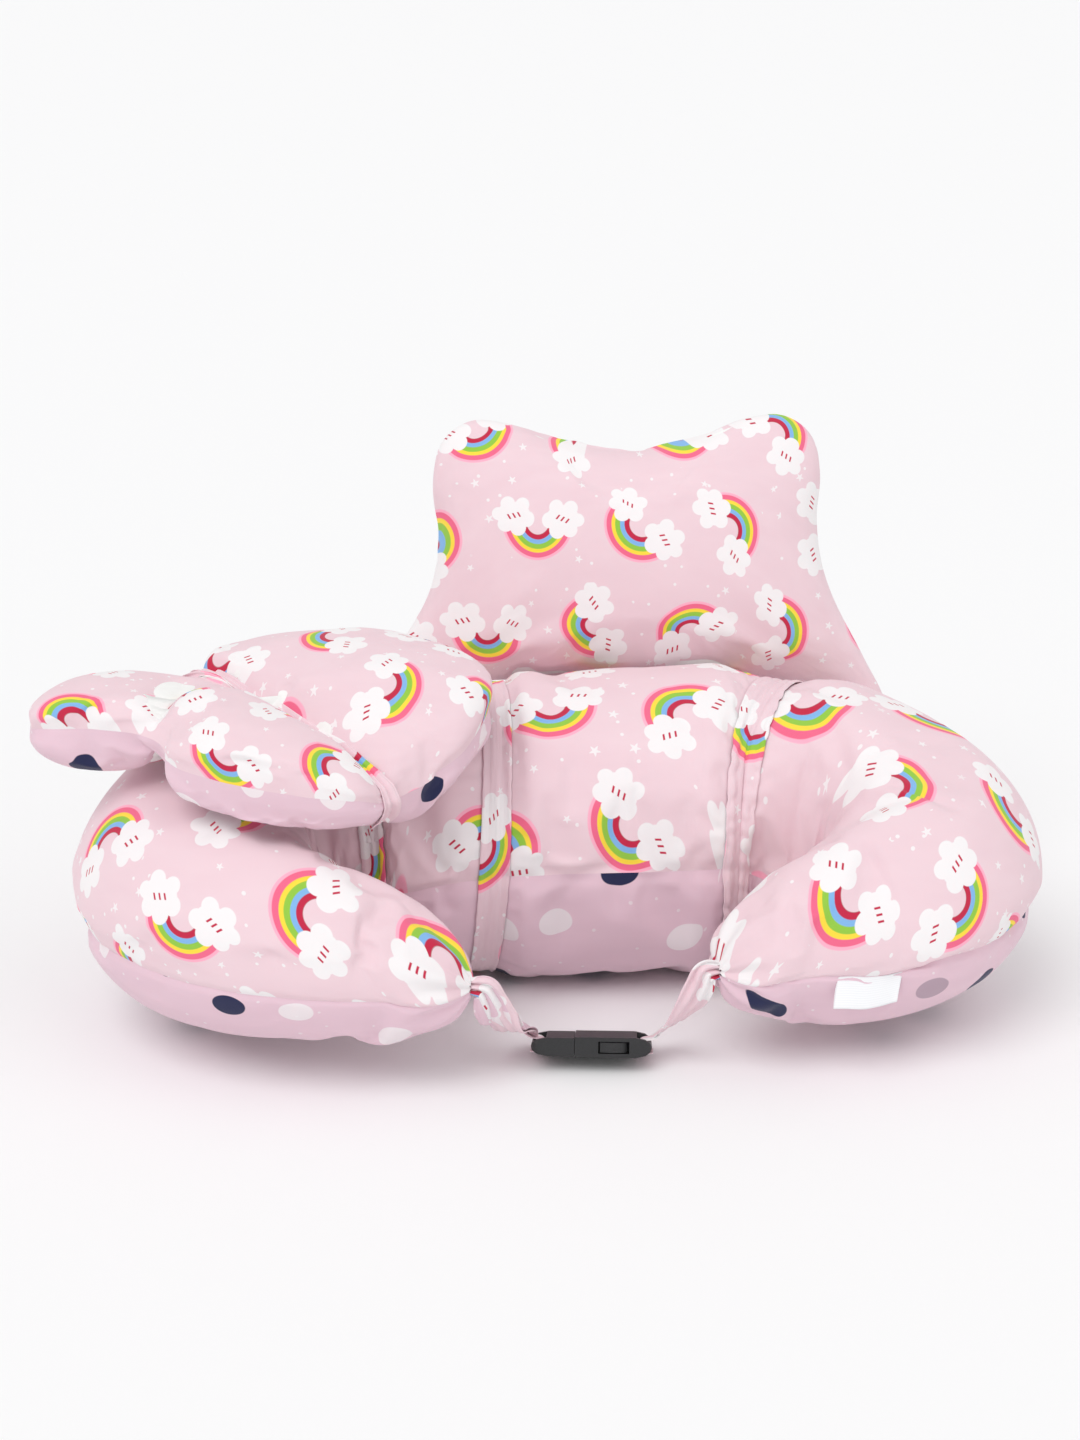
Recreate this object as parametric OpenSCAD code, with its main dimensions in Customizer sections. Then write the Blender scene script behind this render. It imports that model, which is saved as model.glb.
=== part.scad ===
// Nursing pillow set: a C-shaped stuffed roll with a zip cover and a buckled
// waist strap, a back pillow held by two bands and a head pillow held by one.
// Origin: on the resting surface under the middle of the back roll.
// +X to the right, +Y towards the back pillow, +Z up. Millimetres.

/* [Main pillow] */
// Overall width of the C-shaped roll
pillow_w = 600; // [560:10:640]
// Diameter of the stuffed roll at the back
roll_d = 188; // [180:2:196]
// Angle of the sewn seam below the roll's widest line
seam_angle = 11; // [6:1:16]
// Thickness of the printed cover
cover_t = 1.2; // [0.8:0.1:2]
// Thickness of the plain inner bag
liner_t = 0.8; // [0.5:0.1:1.5]

/* [Back pillow] */
// Half thickness of the back pillow at its middle
back_half_t = 46; // [36:1:50]
// Angle that the back pillow leans backwards
back_lean = 15; // [10:1:20]

/* [Head pillow] */
// Height of the head pillow's lobes above its seam
head_top_t = 36; // [28:1:40]
// Depth of the head pillow's lobes below its seam
head_bottom_t = 26; // [18:1:28]

/* [Bands and straps] */
// Thickness of a gathered holding band
band_t = 1.5; // [1:0.1:2]
// Width of the waist straps
strap_w = 24; // [20:1:25]
// Thickness of the waist straps
strap_t = 1.6; // [1:0.1:2]

/* [Buckle] */
// Width of the side-release buckle
buckle_w = 34; // [32:1:38]
// Thickness of the buckle's socket
buckle_t = 12; // [11:0.5:13]
// Roll of the buckle about its length, near edge up
buckle_roll = 18; // [0:1:25]

/* [Zip] */
// Length of the zip along the back seam
zip_l = 140; // [100:10:140]
// Radius of the closed zip coil
coil_r = 1.8; // [1.5:0.1:2.2]

/* [Hidden] */

print_pink = [0.96, 0.80, 0.85];
plain_pink = [0.93, 0.78, 0.86];
white_cloth = [0.95, 0.94, 0.93];
fibre_white = [0.98, 0.98, 0.97];
black_plastic = [0.07, 0.07, 0.07];

eps = 0.01;
round_fn = 48;

// ---------- general functions ----------

function unit(v) = v / norm(v);
function flat3(v, z) = [v[0], v[1], z];
function mix(a, b, f) = a + (b - a) * f;
function spline_at(a, b, c, d, t) =
  0.5 * (2 * b + (c - a) * t + (2 * a - 5 * b + 4 * c - d) * t * t
  + (3 * b - a - 3 * c + d) * t * t * t);
function open_spline(p, n) = let (last = len(p) - 1) concat(
  [for (i = [0:last - 1], k = [0:n - 1])
    spline_at(i == 0 ? 2 * p[0] - p[1] : p[i - 1], p[i], p[i + 1],
      i == last - 1 ? 2 * p[last] - p[last - 1] : p[i + 2], k / n)],
  [p[last]]);
function closed_spline(p, n) = let (m = len(p)) [for (i = [0:m - 1], k = [0:n - 1])
  spline_at(p[(i + m - 1) % m], p[i], p[(i + 1) % m], p[(i + 2) % m], k / n)];
function join_rings(rings) = [for (r = rings) each r];
function centre_of(ring) = let (n = len(ring)) [for (k = [0:2])
  [for (p = ring) p[k]] * [for (p = ring) 1] / n];

// Two triangles for each cell between row a and row b, both starting at a point index.
function wall(a, b, m) = [for (j = [0:m - 1]) let (k = (j + 1) % m) each
  [[a + j, a + k, b + k], [a + j, b + k, b + j]]];
// The same cells, split along their other diagonal.
function wall_across(a, b, m) = [for (j = [0:m - 1]) let (k = (j + 1) % m) each
  [[a + j, a + k, b + j], [a + k, b + k, b + j]]];
function cap(a, m) = [[for (j = [0:m - 1]) a + j]];
function back_cap(a, m) = [[for (j = [0:m - 1]) a + m - 1 - j]];

// A closed tube through equal rings of points, with flat ends.
module loft(rings) {
  m = len(rings[0]);
  n = len(rings);
  polyhedron(join_rings(rings), concat(
    [for (i = [0:n - 2]) each wall_across((i + 1) * m, i * m, m)],
    cap(0, m), back_cap((n - 1) * m, m)));
}

// A closed ring of cross-sections that meets its own start.
module ring_loft(sections) {
  m = len(sections[0]);
  n = len(sections);
  polyhedron(join_rings(sections),
    [for (i = [0:n - 1]) each wall(i * m, ((i + 1) % n) * m, m)]);
}

// A closed form through rings that end in one point at each pole. The cells of its
// first low_n rows are split the other way, to lie parallel to the cover round them.
module globe(rings, low_n) {
  m = len(rings[0]);
  n = len(rings);
  poles = [centre_of(rings[0]), centre_of(rings[n - 1])];
  polyhedron(concat(join_rings(rings), poles), concat(
    [for (i = [0:n - 2]) each (i < low_n
      ? wall_across((i + 1) * m, i * m, m) : wall((i + 1) * m, i * m, m))],
    [for (j = [0:m - 1]) [j, (j + 1) % m, n * m]],
    [for (j = [0:m - 1]) [(n - 1) * m + (j + 1) % m, (n - 1) * m + j, n * m + 1]]));
}

// ---------- main roll: plan, sections and shells ----------

plan_k = pillow_w / 600;
roll_k = roll_d / 188;
// Stations from the back centre to each tip:
// x, y, z, outer half width, inner half width, half height.
right_side = [
  [0, 0, 92, 94, 94, 94], [56, 0, 92, 94, 94, 94], [130, -3.5, 92, 94, 90, 94],
  [184, -34, 91, 94, 65, 92], [212, -80, 88, 90, 57, 86], [200, -124, 85, 78, 54, 72],
  [162, -150, 80, 62, 50, 56], [126, -165, 74, 46, 42, 43], [98, -174, 68, 28, 28, 29],
  [84, -180, 65, 10, 10, 12]
];
left_side = [
  [0, 0, 92, 94, 94, 94], [10, 0, 92, 94, 94, 94], [54, 0, 92, 94, 94, 94],
  [130, -5, 92, 94, 90, 94],
  [182, -36, 91, 95, 65, 92], [206, -86, 88, 92, 58, 86], [190, -130, 85, 78, 53, 72],
  [152, -156, 80, 64, 50, 58], [112, -172, 74, 48, 46, 46], [82, -184, 69, 31, 31, 31],
  [62, -192, 66, 10, 10, 12]
];
function scaled(row, side) = [side * row[0] * plan_k, row[1] * plan_k, row[2] * roll_k,
  row[3] * roll_k, row[4] * roll_k, row[5] * roll_k];
left_last = len(left_side) - 1;
stations = concat(
  [for (i = [0:left_last]) scaled(left_side[left_last - i], -1)],
  [for (i = [1:len(right_side) - 1]) scaled(right_side[i], 1)]);
roll = open_spline(stations, 2);
roll_n = len(roll);
middle = 2 * left_last;

// Spans between two rings that a band runs round; the roll stays clear of the floor there.
head_band_span = middle - 7;
left_band_span = middle - 4;
right_band_span = middle + 4;
band_spans = [head_band_span, left_band_span, right_band_span];
band_groove = 2.6;
function in_groove(k) = len([for (s = band_spans) if (k == s || k == s + 1) s]) > 0;

function roll_dir(k) = unit(flat3(roll[min(k + 1, roll_n - 1)] - roll[max(k - 1, 0)], 0));
function roll_out(k) = let (d = roll_dir(k)) [-d[1], d[0], 0];
function roll_floor(k) = in_groove(k) ? band_groove : 0;
// The point of ring k at section angle a, moved inwards by inset.
function roll_point(k, a, inset, low) = let (
    r = roll[k], half = (cos(a) >= 0 ? r[3] : r[4]) - inset,
    p = [r[0], r[1], r[2]] + roll_out(k) * half * cos(a) + [0, 0, (r[5] - inset) * sin(a)])
  [p[0], p[1], max(p[2], low)];
upper_steps = 11;
lower_steps = 9;
upper_angles = [for (i = [0:upper_steps])
  -seam_angle + (180 + 2 * seam_angle) * i / upper_steps];
lower_angles = [for (i = [0:lower_steps])
  180 + seam_angle + (180 - 2 * seam_angle) * i / lower_steps];
all_angles = concat([for (i = [0:upper_steps - 1]) upper_angles[i]],
  [for (i = [0:lower_steps - 1]) lower_angles[i]]);
function roll_ring(k, angles, inset) = [for (a = angles)
  roll_point(k, a, inset, roll_floor(k) + inset)];
function reversed(v) = [for (i = [len(v) - 1:-1:0]) v[i]];
function strip_ring(k, angles, outer, inner) =
  concat(roll_ring(k, angles, outer), reversed(roll_ring(k, angles, inner)));

// Half shell of the cover: a strip section swept from tip to tip.
module cover_half(angles) {
  m = 2 * len(angles);
  h = len(angles);
  rings = [for (k = [0:roll_n - 1]) strip_ring(k, angles, 0, cover_t)];
  last = (roll_n - 1) * m;
  start = [for (j = [0:h - 2]) each [[j, j + 1, m - 2 - j], [j, m - 2 - j, m - 1 - j]]];
  polyhedron(join_rings(rings), concat(
    [for (i = [0:roll_n - 2]) each wall((i + 1) * m, i * m, m)],
    start,
    [for (f = start) [last + f[2], last + f[1], last + f[0]]]));
}
inner_gap = 0.3;
liner_out = cover_t + inner_gap;
liner_in = liner_out + liner_t;
fill_inset = liner_in + inner_gap;
end_skip = 2;

module main_cover_upper() {
  color(print_pink) cover_half(upper_angles);
}
module main_cover_lower() {
  color(plain_pink) cover_half(lower_angles);
}
module roll_body(inset, skip) {
  loft([for (k = [skip:roll_n - 1 - skip]) roll_ring(k, all_angles, inset)]);
}
module main_liner() {
  color(white_cloth) difference() {
    roll_body(liner_out, end_skip);
    roll_body(liner_in, end_skip + 1);
  }
}
module main_fill() {
  color(fibre_white) roll_body(fill_inset, end_skip + 1);
}

// ---------- height of the roll's upper surface under a point ----------

along_r = 90 * roll_k;
function roof(k, p) = let (
    r = roll[k], d = [p[0] - r[0], p[1] - r[1], 0], across = d * roll_out(k),
    along = d * roll_dir(k), w = across > 0 ? r[3] : r[4],
    q = 1 - pow(across / w, 2) - pow(along / along_r, 2))
  q > 0 ? r[2] + r[5] * sqrt(q) : 0;
function roof_over(p) = max([for (k = [4:roll_n - 5]) roof(k, p)]);

// ---------- bands round the roll ----------

band_gap = 0.5;
// A section polygon of the roll between rings k and k + 1, moved outwards by d.
function band_ring(k, f, d) = [for (a = all_angles) let (
    p = mix(roll_point(k, a, -d, 0), roll_point(k + 1, a, -d, 0), f))
  [p[0], p[1], max(p[2], band_groove - d)]];
module band_loop(k, f0, f1) {
  inner0 = band_ring(k, f0, band_gap);
  outer0 = band_ring(k, f0, band_gap + band_t);
  inner1 = band_ring(k, f1, band_gap);
  outer1 = band_ring(k, f1, band_gap + band_t);
  ring_loft([for (j = [0:len(all_angles) - 1]) [inner0[j], outer0[j], outer1[j], inner1[j]]]);
}
module back_band_left() {
  color(print_pink) band_loop(left_band_span, 0.05, 0.95);
}
module back_band_right() {
  color(print_pink) band_loop(right_band_span, 0.1, 0.9);
}

// ---------- back pillow ----------

back_x = 62;
back_hinge_y = 72;
back_hinge_z = 164;
// Seam line in the pillow's own plane, from the bottom middle: across, up.
back_half = [
  [0, 12], [60, 8], [120, -4], [160, -18], [174, -16], [160, 14], [138, 60],
  [129, 100], [131, 137], [126, 163], [106, 178], [80, 176], [45, 163], [0, 156]
];
back_last = len(back_half) - 1;
back_seam = concat(back_half,
  [for (i = [1:back_last - 1]) let (p = back_half[back_last - i]) [-p[0], p[1]]]);
back_centre = [0, 78];
// The left corner lies on the roll, which pushes it up.
left_push = 20;
function pushed(p) = [p[0], p[1] + (p[0] < 0 ? left_push * pow(-p[0] / 174, 3)
  * max(0, 1 - max(p[1], 0) / 100) : 0)];
function lean(p) = [back_x + p[0],
  back_hinge_y + p[2] * sin(back_lean) + p[1] * cos(back_lean),
  back_hinge_z + p[2] * cos(back_lean) - p[1] * sin(back_lean)];
// Rings from the seam towards the middle of one face; side is -1 in front and 1 behind.
dome_angles = [0, 12, 28, 48, 72];
back_plumpness = 0.85;
function back_ring(a, side, inset) = let (s = cos(a))
  [for (q = closed_spline(back_seam, 2)) let (
      p = pushed(q), d = p - back_centre,
      r = back_centre + d * (s * (1 - inset / norm(d))),
      y = side * (back_half_t - inset) * pow(sin(a), back_plumpness))
    lean([r[0], y, r[1]])];
function shell_rings(side, inset) = [for (a = dome_angles) back_ring(a, side, inset)];
// One face of a pillow's cover: outer rings, inner rings, joined round the seam.
module dome_shell(outer, inner, flip) {
  m = len(outer[0]);
  n = len(outer);
  points = concat(join_rings(outer), join_rings(inner),
    [centre_of(outer[n - 1]), centre_of(inner[n - 1])]);
  faces = concat(
    [for (i = [0:n - 2]) each wall(i * m, (i + 1) * m, m)],
    [for (j = [0:m - 1]) [(n - 1) * m + j, (n - 1) * m + (j + 1) % m, 2 * n * m]],
    [for (i = [0:n - 2]) each wall((n + i + 1) * m, (n + i) * m, m)],
    [for (j = [0:m - 1]) [(2 * n - 1) * m + (j + 1) % m, (2 * n - 1) * m + j, 2 * n * m + 1]],
    wall(n * m, 0, m));
  polyhedron(points, flip ? [for (f = faces) reversed(f)] : faces);
}
module back_cover_front() {
  color(print_pink) dome_shell(shell_rings(-1, 0), shell_rings(-1, cover_t), true);
}
module back_cover_rear() {
  color(plain_pink) dome_shell(shell_rings(1, 0), shell_rings(1, cover_t), false);
}
module back_fill() {
  inset = cover_t + inner_gap;
  color(fibre_white) globe(concat(
    [for (i = [len(dome_angles) - 1:-1:1]) reversed(back_ring(dome_angles[i], -1, inset))],
    [for (a = dome_angles) reversed(back_ring(a, 1, inset))]), len(dome_angles) - 1);
}

// ---------- head pillow ----------

// Seam line, counter-clockwise from the outer tip: x, y, z.
head_seam = [
  [-316, -84, 200], [-280, -104, 202], [-240, -114, 200], [-216, -136, 188],
  [-188, -156, 182], [-157, -168, 180], [-124, -170, 178], [-108, -148, 172],
  [-84, -136, 177], [-60, -128, 186], [-44, -100, 198], [-40, -72, 202],
  [-52, -30, 204], [-100, 0, 206], [-165, 10, 208], [-205, -8, 208],
  [-224, -42, 206], [-262, -28, 202], [-300, -42, 200]
];
// The band ties the pillow in along this line through its waist.
waist_point = [-166, -90, 0];
waist_across = [0.74, 0.67, 0];
waist_depth = 0.42;
waist_reach = 22;
// A shallower fold parts the two outer lobes.
fold_point = [-240, -112, 0];
fold_across = [-0.25, 0.97, 0];
fold_depth = 0.25;
fold_reach = 16;
head_centre = [-168, -80, 196];
head_swivel = 15;
roof_gap = 4.4;
// Below 1, a stuffed form is fuller towards its seam.
plumpness = 0.6;

function dip(p, at, across, depth, reach) =
  1 - depth * exp(-pow((flat3(p, 0) - at) * across / reach, 2));
function outer_part(p) = min(1, max(0, (-190 - p[0]) / 40));
function head_shape(p) = dip(p, waist_point, waist_across, waist_depth, waist_reach)
  * (1 - (1 - dip(p, fold_point, fold_across, fold_depth, fold_reach)) * outer_part(p));
function swung(p, a) = let (d = p - waist_point)
  [waist_point[0] + d[0] * cos(a) - d[1] * sin(a),
   waist_point[1] + d[0] * sin(a) + d[1] * cos(a), p[2]];
function head_roof(p) = max([for (a = [-head_swivel, 0, head_swivel])
  roof_over(swung(p, a))]) + roof_gap;
function head_ring(a, side, inset) = let (s = cos(a))
  [for (q = closed_spline(head_seam, 2)) let (
      d = q - head_centre, at = head_centre + d * s,
      p = head_centre + d * (s * (1 - inset / norm(d))),
      up = head_shape(at) * pow(sin(a), plumpness))
    side > 0 ? p + [0, 0, max(0, head_top_t - inset) * up]
      : [p[0], p[1], min(p[2] - (a > 0 ? 1 : 0),
          max(p[2] - max(0, head_bottom_t - inset) * up, head_roof(at) + inset))]];
head_rows = [0, 10, 25, 45, 70];
module head_cover_upper() {
  color(print_pink) dome_shell([for (a = head_rows) head_ring(a, 1, 0)],
    [for (a = head_rows) head_ring(a, 1, cover_t)], true);
}
module head_cover_lower() {
  color(plain_pink) dome_shell([for (a = head_rows) head_ring(a, -1, 0)],
    [for (a = head_rows) head_ring(a, -1, cover_t)], false);
}
module head_fill() {
  inset = cover_t + inner_gap;
  color(fibre_white) globe(concat(
    [for (i = [len(head_rows) - 1:-1:1]) head_ring(head_rows[i], -1, inset)],
    [for (a = head_rows) head_ring(a, 1, inset)]), len(head_rows) - 1);
}
module head_band_loop() {
  color(print_pink) band_loop(head_band_span, 0.1, 0.9);
}
// The part of the band that lies in the head pillow's waist.
wrap_along = [0.67, -0.74, 0];
wrap_half_w = 10;
wrap_line = [[-87, -4], [-83, 18], [-74, 27], [-54, 29], [-28, 30.5], [-12, 31], [0, 30],
  [14, 23], [28, 17], [50, 11], [62, 5.5], [80, -5], [92, -18]];
module head_band_wrap() {
  line = wrap_line;
  rows = [for (q = line) waist_point + wrap_along * q[0] + [0, 0, 196 + q[1]]];
  color(print_pink) loft([for (p = rows) [
    p - waist_across * wrap_half_w, p + waist_across * wrap_half_w,
    p + waist_across * wrap_half_w + [0, 0, band_t],
    p - waist_across * wrap_half_w + [0, 0, band_t]]]);
}

// ---------- zip along the back seam ----------

// The zip lies between the two bands of the back pillow.
zip_x = 46;
zip_a = -seam_angle;
zip_y = roll_d / 2 * cos(zip_a);
zip_z = 92 * roll_k + roll_d / 2 * sin(zip_a);
tape_w = 9;
tape_t = 0.8;
tape_gap = 0.3;
// The two tapes follow the flat facets of the roll above and below the seam.
module zip_tape(a_from, a_to, side) {
  mid = (a_from + a_to) / 2;
  translate([zip_x - zip_l / 2, zip_y, zip_z]) rotate([mid, 0, 0])
    translate([0, tape_gap, side > 0 ? 0.6 : -0.6 - tape_w]) cube([zip_l, tape_t, tape_w]);
}
module zip_tape_upper() {
  color(white_cloth) zip_tape(upper_angles[0], upper_angles[1], 1);
}
module zip_tape_lower() {
  color(white_cloth)
    zip_tape(-seam_angle - (180 - 2 * seam_angle) / lower_steps, -seam_angle, -1);
}
coil_y = zip_y + tape_gap + tape_t + coil_r + 1;
module zip_coil() {
  color(white_cloth) translate([zip_x - zip_l / 2, coil_y, zip_z]) rotate([0, 90, 0])
    cylinder(r = coil_r, h = zip_l, $fn = round_fn);
}
stop_l = 3;
module zip_stops() {
  color("silver") for (x = [zip_x - zip_l / 2 - stop_l - 0.3, zip_x + zip_l / 2 + 0.3])
    translate([x, coil_y - coil_r, zip_z - 2.4]) cube([stop_l, 2 * coil_r, 4.8]);
}
slider_l = 9;
slider_x = zip_x + zip_l / 2 - slider_l / 2 - 2;
slider_r = coil_r + 0.25;
slider_top = coil_y + coil_r + 1.5;
bail_r = 1.2;
bail_y = slider_top + 2.6;
pull_w = 6;
module zip_slider() {
  color("silver") difference() {
    union() {
      translate([slider_x - slider_l / 2, coil_y - slider_r - 0.2, zip_z - 4])
        cube([slider_l, slider_top - coil_y + slider_r + 0.2, 8]);
      for (s = [-1, 1]) translate([slider_x + s * (pull_w / 2 + 1), 0, zip_z])
        translate([-0.7, slider_top - eps, -1.6]) cube([1.4, 4.2, 3.2]);
      translate([slider_x - pull_w / 2 - 1.5, bail_y, zip_z]) rotate([0, 90, 0])
        cylinder(r = bail_r, h = pull_w + 3, $fn = round_fn);
    }
    translate([slider_x - slider_l, coil_y, zip_z]) rotate([0, 90, 0])
      cylinder(r = slider_r, h = 2 * slider_l, $fn = round_fn);
  }
}
pull_l = 22;
module zip_pull() {
  color("silver") translate([slider_x, bail_y, zip_z]) rotate([90, 0, 90])
    translate([0, 0, -pull_w / 2 + 0.4]) difference() {
      union() {
        cylinder(r = 2.4, h = pull_w - 0.8, $fn = round_fn);
        translate([-0.8, -pull_l, 0]) cube([1.6, pull_l, pull_w - 0.8]);
      }
      translate([0, 0, -1]) cylinder(r = bail_r + 0.06, h = pull_w + 2, $fn = round_fn);
    }
}

// ---------- waist strap and buckle ----------

buckle_at = [2, -158, 11.3];
buckle_yaw = -7;
module at_buckle() {
  translate(buckle_at) rotate([0, 0, buckle_yaw]) rotate([-buckle_roll, 0, 0]) children();
}
half_w = buckle_w / 2;
half_t = buckle_t / 2;
socket_l = 46;
plug_l = 26;
slot_w = 5;
slot_half = 13;
wall_t = 1.2;
cavity_half_t = 3.4;
window_from = 14;
window_to = 32.5;
corner_r = 5;

// Plan outline with two round corners at its far end, along +x.
module round_end(l) {
  union() {
    translate([0, -half_w]) square([l - corner_r, buckle_w]);
    translate([0, -half_w + corner_r]) square([l, buckle_w - 2 * corner_r]);
    for (s = [-1, 1]) translate([l - corner_r, s * (half_w - corner_r)])
      circle(r = corner_r, $fn = round_fn);
  }
}
// Side outline that thins towards its far end.
module side_outline(l, t) {
  polygon([[0, -t], [l - 10, -t], [l - 4, -t * 0.78], [l - 0.8, -t * 0.42], [l, 0],
    [l - 0.8, t * 0.42], [l - 4, t * 0.78], [l - 10, t], [0, t]]);
}
module buckle_half(l, t) {
  intersection() {
    translate([0, 0, -t - 1]) linear_extrude(2 * t + 2) round_end(l);
    rotate([90, 0, 0]) translate([0, 0, -half_w - 1]) linear_extrude(buckle_w + 2)
      side_outline(l, t);
  }
}
module strap_slot(l) {
  translate([l - slot_w - 4, -slot_half, -half_t - 1]) cube([slot_w, 2 * slot_half, buckle_t + 2]);
  for (s = [-1, 1]) translate([l - 4 - eps, -slot_half, s > 0 ? 2.2 : -2.2 - half_t])
    cube([5, 2 * slot_half, half_t]);
}
module buckle_socket() {
  color(black_plastic) at_buckle() difference() {
    buckle_half(socket_l, half_t);
    translate([-1, -half_w + wall_t, -cavity_half_t])
      cube([35, buckle_w - 2 * wall_t, 2 * cavity_half_t]);
    translate([window_from, -half_w - 1, -3.6])
      cube([window_to - window_from, buckle_w + 2, 7.2]);
    strap_slot(socket_l);
  }
}
prong_y = 8.6;
knuckle_x = -1.5;
knuckle_r = 1.8;
module buckle_plug() {
  color(black_plastic) at_buckle() difference() {
    union() {
      rotate([0, 0, 180]) translate([0.3, 0, 0]) buckle_half(plug_l, half_t - 0.5);
      translate([-4, -2, -1.5]) cube([10, 4, 3]);
    }
    rotate([0, 0, 180]) translate([0.3, 0, 0]) strap_slot(plug_l);
    for (s = [-1, 1]) {
      translate([knuckle_x - 1, s * prong_y, -3.2])
        cylinder(r = knuckle_r + 0.07, h = 6.4, $fn = round_fn);
      translate([knuckle_x - 1, s * prong_y - 2.1, -3.2]) cube([3, 4.2, 6.4]);
    }
  }
}
// Springy arm with the press button that bulges through the socket's side window.
module prong(s) {
  outline = [[-1, 7.1], [30, 7.1], [33, 9.6], [33, 12], [31, 14.5], [27, 16.6],
    [23, 17], [19, 16.4], [15, 15.5], [14.4, 10.1], [-1, 10.1]];
  translate([0, 0, -3]) {
    linear_extrude(6) polygon([for (p = outline) [p[0], s * p[1]]]);
    translate([knuckle_x - 1, s * prong_y, 0]) cylinder(r = knuckle_r, h = 6, $fn = round_fn);
    translate([knuckle_x - 1, s * prong_y - 1.5, 0]) cube([2, 3, 6]);
  }
}
module buckle_prong_front() {
  color(black_plastic) at_buckle() prong(-1);
}
module buckle_prong_rear() {
  color(black_plastic) at_buckle() prong(1);
}

// Flat ribbon through centre points, each with its own width direction.
module ribbon(path, across) {
  p = open_spline(path, 3);
  w = open_spline(across, 3);
  n = len(p);
  loft([for (i = [0:n - 1]) let (
      d = unit(p[min(i + 1, n - 1)] - p[max(i - 1, 0)]),
      side = unit(w[i] - d * (w[i] * d)), up = cross(d, side),
      a = side * strap_w / 2, b = up * strap_t / 2)
    [p[i] - a - b, p[i] + a - b, p[i] + a + b, p[i] - a + b]]);
}
// A point of the buckle's own frame in the part's frame.
function from_buckle(p) = let (
    y = p[1] * cos(buckle_roll) + p[2] * sin(buckle_roll),
    z = p[2] * cos(buckle_roll) - p[1] * sin(buckle_roll))
  buckle_at + [p[0] * cos(buckle_yaw) - y * sin(buckle_yaw),
    p[0] * sin(buckle_yaw) + y * cos(buckle_yaw), z];
near_side = from_buckle([0, -1, 0]) - buckle_at;
bar_top = 4;
// Each strap leaves its arm's tip, hangs down and turns flat onto the buckle's bar.
module strap_left() {
  color(print_pink) ribbon(
    [[-54, -194, 66], [-50, -191, 56], [-45, -184, 43], [-39, -173, 29],
     from_buckle([-31, 0, 8]), from_buckle([-26.5, 0, bar_top + 0.9]),
     from_buckle([-22.5, 0, bar_top])],
    [[0.65, 0.1, 0.5], [0.6, 0, 0.5], [0.45, -0.4, 0.5], [0.2, -0.75, 0.4],
     near_side, near_side, near_side]);
}
module strap_right() {
  color(print_pink) ribbon(
    [[76.5, -182, 66], [73, -181, 56], [68, -177, 43], [61, -170, 29],
     from_buckle([50.5, 0, 8]), from_buckle([46.5, 0, bar_top + 0.9]),
     from_buckle([42.5, 0, bar_top])],
    [[-0.65, 0.1, 0.5], [-0.6, 0, 0.5], [-0.45, -0.4, 0.5], [-0.3, -0.75, 0.4],
     near_side, near_side, near_side]);
}

// Blank folded label sewn into the right arm's front seam.
module care_label() {
  color(white_cloth) translate([172, -219, 62]) rotate([14, 0, 24])
    cube([40, 0.8, 18], center = true);
}

main_cover_upper();
main_cover_lower();
main_liner();
main_fill();
care_label();
zip_tape_upper();
zip_tape_lower();
zip_coil();
zip_stops();
zip_slider();
zip_pull();
strap_left();
strap_right();
buckle_plug();
buckle_prong_front();
buckle_prong_rear();
buckle_socket();
back_cover_front();
back_cover_rear();
back_fill();
back_band_left();
back_band_right();
head_cover_upper();
head_cover_lower();
head_fill();
head_band_loop();
head_band_wrap();
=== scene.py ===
import math

import bpy
import numpy as np
from mathutils import Matrix, Vector
from mathutils.bvhtree import BVHTree
from numpy.linalg import norm


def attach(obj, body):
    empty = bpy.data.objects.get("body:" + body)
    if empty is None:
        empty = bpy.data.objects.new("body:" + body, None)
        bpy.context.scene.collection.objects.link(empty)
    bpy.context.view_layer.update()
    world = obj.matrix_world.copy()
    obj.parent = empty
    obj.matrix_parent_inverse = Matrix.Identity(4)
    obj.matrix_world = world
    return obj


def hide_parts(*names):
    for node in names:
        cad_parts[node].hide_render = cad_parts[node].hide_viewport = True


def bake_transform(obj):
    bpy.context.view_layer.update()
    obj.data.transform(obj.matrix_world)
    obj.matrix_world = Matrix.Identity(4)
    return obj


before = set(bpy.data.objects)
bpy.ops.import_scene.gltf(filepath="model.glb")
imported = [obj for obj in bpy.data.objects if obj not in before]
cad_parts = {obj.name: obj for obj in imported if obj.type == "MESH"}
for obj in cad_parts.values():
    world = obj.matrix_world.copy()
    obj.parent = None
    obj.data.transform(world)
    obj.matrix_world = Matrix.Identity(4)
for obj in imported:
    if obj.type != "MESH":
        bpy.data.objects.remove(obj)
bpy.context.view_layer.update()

MM = 0.001

# ------ curves


def catmull(rows, t, closed=False):
    """Values of a smooth curve through rows at parameters t, one unit per row."""
    p = np.asarray(rows, float)
    n = len(p)
    i = np.clip(np.floor(t).astype(int), 0, n - 1 if closed else n - 2)
    f = (np.asarray(t) - i)[:, None]
    if closed:
        a, b, c, d = p[(i - 1) % n], p[i % n], p[(i + 1) % n], p[(i + 2) % n]
    else:
        ext = np.vstack([2 * p[0] - p[1], p, 2 * p[-1] - p[-2]])
        a, b, c, d = ext[i], ext[i + 1], ext[i + 2], ext[np.minimum(i + 3, n + 1)]
    return 0.5 * (2 * b + (c - a) * f + (2 * a - 5 * b + 4 * c - d) * f**2 + (3 * b - a - 3 * c + d) * f**3)


def run_along(points):
    """Distance along a polyline at each of its points."""
    return np.concatenate([[0], np.cumsum(norm(np.diff(points, axis=0), axis=1))])


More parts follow.
